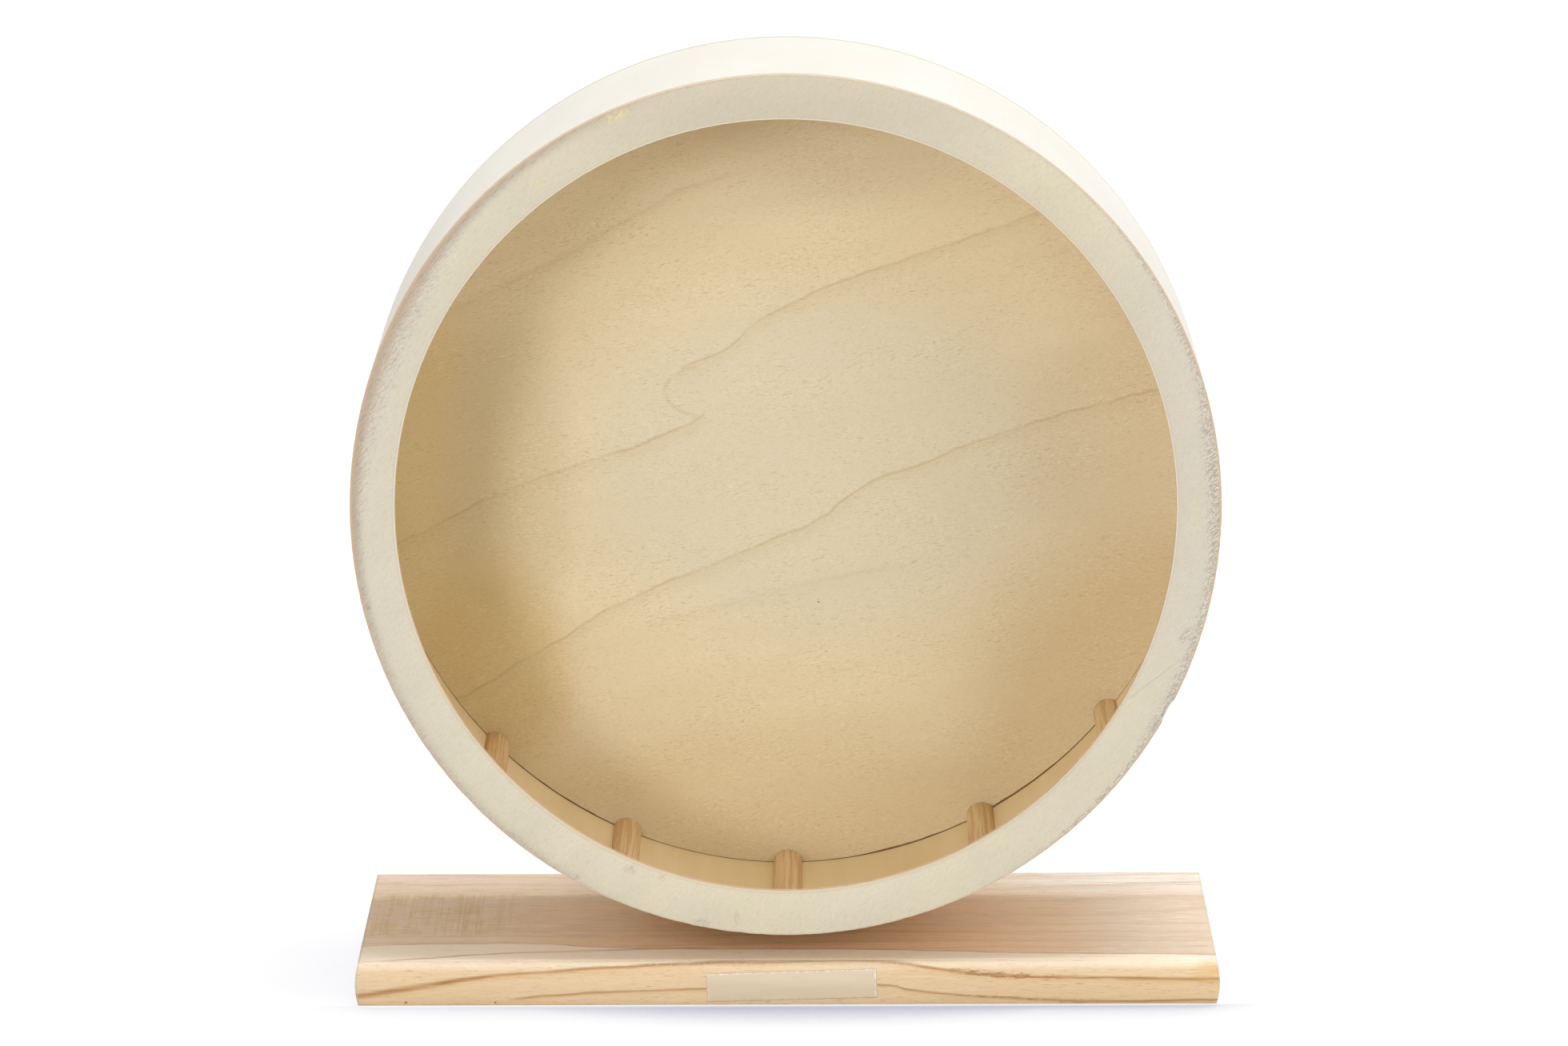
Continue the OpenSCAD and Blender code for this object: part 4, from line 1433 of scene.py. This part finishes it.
def thread(front, back):
    """Screw thread along the axle, its ends cut square."""
    root = BOLT_R - THREAD_DEPTH
    flat = THREAD_PITCH * 0.12
    turns = int((back - front) / THREAD_PITCH) + 3
    y = front - THREAD_PITCH
    points = []
    for i in range(turns):
        crest = y + THREAD_PITCH / 2
        points += [(root, y), (BOLT_R, crest - flat), (BOLT_R, crest + flat)]
        y += THREAD_PITCH
    points.append((root, y))
    steps = 64
    bm = bmesh.new()
    geom = chain(bm, [AXLE + Vector((r, at, 0)) for r, at in points], closed=False)
    bmesh.ops.spin(
        bm, geom=geom, cent=AXLE, axis=(0, 1, 0), angle=2 * pi, steps=steps,
        dvec=(0, THREAD_PITCH / steps, 0)
    )
    bmesh.ops.remove_doubles(bm, verts=bm.verts, dist=0.004 * MM)
    for at, way in ((front, -1), (back, 1)):
        bmesh.ops.bisect_plane(
            bm, geom=whole(bm), plane_co=(0, at, 0),
            plane_no=(0, way, 0), clear_outer=True
        )
    return close_ends(bm)


def bevelled(profile_r, front, back, bevel_front, bevel_back):
    """Round tool that bevels the corners of a hexagon at its two ends."""
    return turned(
        ((0, front), (profile_r - bevel_front, front), (profile_r, front + bevel_front / 2),
         (profile_r, back - bevel_back / 2), (profile_r - bevel_back, back), (0, back)),
        96, closed=False
    )


def bolt(metal):
    """Hexagon bolt: the head in the hub block, a plain shank, and a threaded end."""
    start, end = station("axle_bolt")
    nut_front = station("lock_nut")[0]
    head_back = start + HEAD_H
    made = piece(hex_prism(HEX_AF, start, head_back), "bolt")
    carve(made, bevelled(HEX_CORNER_R, start, head_back, HEX_BEVEL, 0), "INTERSECT")
    shank_end = nut_front - 0.4 * MM
    carve(made, rod(BOLT_R, head_back - OVERCUT, shank_end), "UNION")
    threaded = piece(thread(shank_end - 0.3 * MM, end), "bolt_thread")
    point = turned(
        ((0, shank_end - OVERCUT), (BOLT_R, shank_end - OVERCUT), (BOLT_R, end - POINT_BEVEL),
         (BOLT_R - POINT_BEVEL, end), (0, end)), 96, closed=False
    )
    carve(threaded, point, "INTERSECT")
    bm = bmesh.new()
    bm.from_mesh(threaded.data)
    bpy.data.objects.remove(threaded)
    carve(made, bm, "UNION")
    dress(made, "wheel", "zinc_steel", metal, "axle_bolt")


WASHER_R = 6 * MM


def flat_ring(node, name, material, slot="zinc_steel", outer=WASHER_R, ease=0.12 * MM):
    """Washer, spacer or insert ring with its edges eased."""
    front, back = station(node)
    bm = turned(((BORE_R, front), (outer, front), (outer, back), (BORE_R, back)), 96)
    soften(bm, ease, 2)
    dress(piece(bm, name), "wheel", slot, material, node)


COLLAR_R = 5.85 * MM
COLLAR_H = 2 * MM
INSERT_R = 5.35 * MM


def nut(metal):
    """Lock nut: a bevelled hexagon with a round collar."""
    front, back = station("lock_nut")
    hex_back = back - COLLAR_H
    made = piece(hex_prism(HEX_AF, front, hex_back), "nut")
    carve(made, bevelled(HEX_CORNER_R, front, hex_back, HEX_BEVEL, HEX_BEVEL), "INTERSECT")
    rim = 0.25 * MM
    collar = turned(
        ((0, front + OVERCUT), (COLLAR_R, front + OVERCUT), (COLLAR_R, back - rim),
         (COLLAR_R - rim, back), (0, back)), 96, closed=False
    )
    carve(made, collar, "UNION")
    bore = turned(
        ((0, front - OVERCUT), (BORE_R, front - OVERCUT), (BORE_R, hex_back), (INSERT_R, hex_back),
         (INSERT_R, back + OVERCUT), (0, back + OVERCUT)), 96, closed=False
    )
    carve(made, bore)
    dress(made, "wheel", "zinc_steel", metal, "lock_nut")


BALL_PITCH_R = 7.51 * MM
GROOVE_R = 2.0145 * MM
SHOULDER = 1.45 * MM
BEARING_R = 11 * MM
SHIELD_SEAT = 0.6 * MM
SHIELD_T = 0.3 * MM


def groove(front, back, side, steps=10):
    """Raceway points from front to back, on the outer (1) or inner (-1) side of the balls."""
    middle = (front + back) / 2
    half = sqrt(GROOVE_R ** 2 - SHOULDER ** 2)
    points = []
    for i in range(steps + 1):
        off = half * (2 * i / steps - 1)
        points.append((BALL_PITCH_R + side * sqrt(GROOVE_R ** 2 - off ** 2), middle + off))
    return points


def race(which, side, body, profile, metal):
    """Outer or inner race of one bearing, from its cross-section."""
    bm = soften(turned(profile, 128), 0.1 * MM, 2, 50)
    name = f"{side}_race"
    dress(piece(bm, f"{which}_{name}"), body, "bearing_steel", metal, f"{which}_bearing_{name}")


def bearing(which, races_metal, shield_metal, cage_material):
    """Races and shields of one bearing, turned; its balls and cage keep their CAD shape."""
    front, back = station(which + "_bearing_outer_race")
    shoulder_out = BALL_PITCH_R + SHOULDER
    shoulder_in = BALL_PITCH_R - SHOULDER
    lip_r = shoulder_out + (BEARING_R - shoulder_out) / 4
    seat_front, seat_back = front + SHIELD_SEAT, back - SHIELD_SEAT
    race(which, "outer", "stand", [
        (lip_r, back), (BEARING_R, back), (BEARING_R, front), (lip_r, front),
        (lip_r, seat_front), (shoulder_out, seat_front), *groove(front, back, 1),
        (shoulder_out, seat_back), (lip_r, seat_back)
    ], races_metal)
    race(which, "inner", "wheel", [
        (shoulder_in, back), (BORE_R, back), (BORE_R, front), (shoulder_in, front),
        *groove(front, back, -1)
    ], races_metal)
    inner_r, outer_r = shoulder_in + 0.2 * MM, lip_r - 0.03 * MM
    both = bmesh.new()
    for low in (front + SHIELD_T, seat_back):
        high = low + SHIELD_T
        shield = turned(((inner_r, low), (outer_r, low), (outer_r, high), (inner_r, high)), 128)
        soften(shield, 0.06 * MM, 1, 50)
        mesh = bpy.data.meshes.new("shield")
        shield.to_mesh(mesh)
        shield.free()
        both.from_mesh(mesh)
        bpy.data.meshes.remove(mesh)
    dress(
        piece(both, which + "_shields"), "stand", "bearing_steel", shield_metal,
        which + "_bearing_shields"
    )
    paint(which + "_bearing_balls", races_metal)
    paint(which + "_bearing_cage", cage_material)


def paint(node, material):
    """Gives a CAD node, whose shape is right, its material."""
    cover(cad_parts[node], material)


# Stage, light and camera

def seen_directly(sheet):
    """1 for camera, mirror and glass rays, 0 for the light that falls on the object."""
    path = sheet.add("LightPath").outputs
    return sheet.most(path["Is Camera Ray"], path["Is Glossy Ray"], path["Is Transmission Ray"])


def floor():
    """Wide pale floor that keeps the shadow of the wheel."""
    bm = bmesh.new()
    bmesh.ops.create_grid(bm, x_segments=8, y_segments=8, size=20)
    shift(bm, (0, 0, -0.05 * MM))
    made = piece(bm, "floor")
    material, s, shader = new_material("floor_paper", 0.9, 0)
    seen = seen_directly(s)
    s.feed(shader["Base Color"], s.mix(seen, FLOOR_TONE, FLOOR_SEEN))
    # painted contact shadow in front of the base, by ambient occlusion, kept off the floor behind the
    # front edge and fading out to the left
    open_sky = s.add("AmbientOcclusion", {"Distance": CONTACT_REACH}, samples=8).outputs["AO"]
    x, y = s.split(s.millimetres())[:2]
    front = BASE_LOW.y / MM
    behind_front = s.span(y, front - 3, front + 3)
    lit = s.most(s.math("MULTIPLY_ADD", open_sky, 2, -1), behind_front)
    lit = s.mix(s.span(x, -150, -10, 0.6, 0), lit, (1, 1, 1))
    s.feed(shader["Emission Color"], s.mix(lit, CONTACT_SHADE_TONE, FLOOR_LIFT))
    s.feed(shader["Emission Strength"], seen)
    made.data.materials.append(material)


def sky():
    world = bpy.data.worlds.new("studio")
    world.use_nodes = True
    world.node_tree.nodes.clear()
    s = Sheet(world.node_tree)
    light_tone = [SKY_LEVEL * part for part in SKY_TINT]
    tone = s.mix(seen_directly(s), light_tone, (1, 1, 1))
    light = s.add("Background", {"Color": tone, "Strength": 1})
    output = s.add("OutputWorld")
    s.feed(output.inputs["Surface"], light.outputs[0])
    bpy.context.scene.world = world


def soft_lamp(name, towards, level, spread):
    """Far soft box that shines along a direction; level is its brightness on a facing sheet."""
    lamp = bpy.data.lights.new(name, "SUN")
    lamp.energy = level * pi
    lamp.color = LAMP_TINT
    lamp.angle = radians(spread)
    made = bpy.data.objects.new(name, lamp)
    made.rotation_euler = Vector(towards).to_track_quat("-Z", "Y").to_euler()
    bpy.context.scene.collection.objects.link(made)


def camera():
    eye = bpy.data.cameras.new("camera")
    eye.sensor_width = 36
    eye.lens = FOCAL_PX / IMAGE_W * eye.sensor_width
    eye.clip_start = 0.1
    eye.clip_end = 100
    made = bpy.data.objects.new("camera", eye)
    made.matrix_world = Matrix.Translation(CAMERA_PLACE)
    for angle, axis in ((-CAMERA_YAW, "Z"), (90 - CAMERA_DOWN, "X"), (-CAMERA_ROLL, "Z")):
        made.matrix_world = made.matrix_world @ Matrix.Rotation(radians(angle), 4, axis)
    bpy.context.scene.collection.objects.link(made)
    bpy.context.scene.camera = made


def build():
    camera()
    floor()
    sky()
    for lamp in LAMPS:
        soft_lamp(*lamp)
    bpy.context.scene.view_settings.view_transform = "Standard"

    zinc = steel("zinc_steel", (0.62, 0.63, 0.65), (0.5, 0.49, 0.47), 0.34)
    bright = steel("bearing_steel", (0.66, 0.66, 0.67), (0.52, 0.51, 0.5), 0.22)
    shield_metal = steel("shield_steel", (0.5, 0.51, 0.53), (0.4, 0.4, 0.4), 0.4)
    cage = plastic("cage_plastic", (0.07, 0.07, 0.075), (0.12, 0.12, 0.12), 0.5)
    insert = plastic("insert_plastic", (0.8, 0.8, 0.77), (0.7, 0.69, 0.64), 0.45)

    base_board()
    label()
    upright()
    paint("upright_screws", zinc)
    front_ring()
    track()
    back_disc()
    wood = rung_wood()
    for number in range(1, RUNG_COUNT + 1):
        rung(number, wood)
    hub()
    bolt(zinc)
    flat_ring("hub_washer", "front_washer", zinc)
    flat_ring("bearing_spacer", "spacer", zinc)
    flat_ring("rear_washer", "back_washer", zinc)
    nut(zinc)
    # the plastic ring fits in the collar of the lock nut
    flat_ring(
        "lock_nut_insert", "nut_insert", insert, "insert_plastic", INSERT_R - 0.03 * MM, 0.15 * MM
    )
    bearing("front", bright, shield_metal, cage)
    bearing("rear", bright, shield_metal, cage)


build()
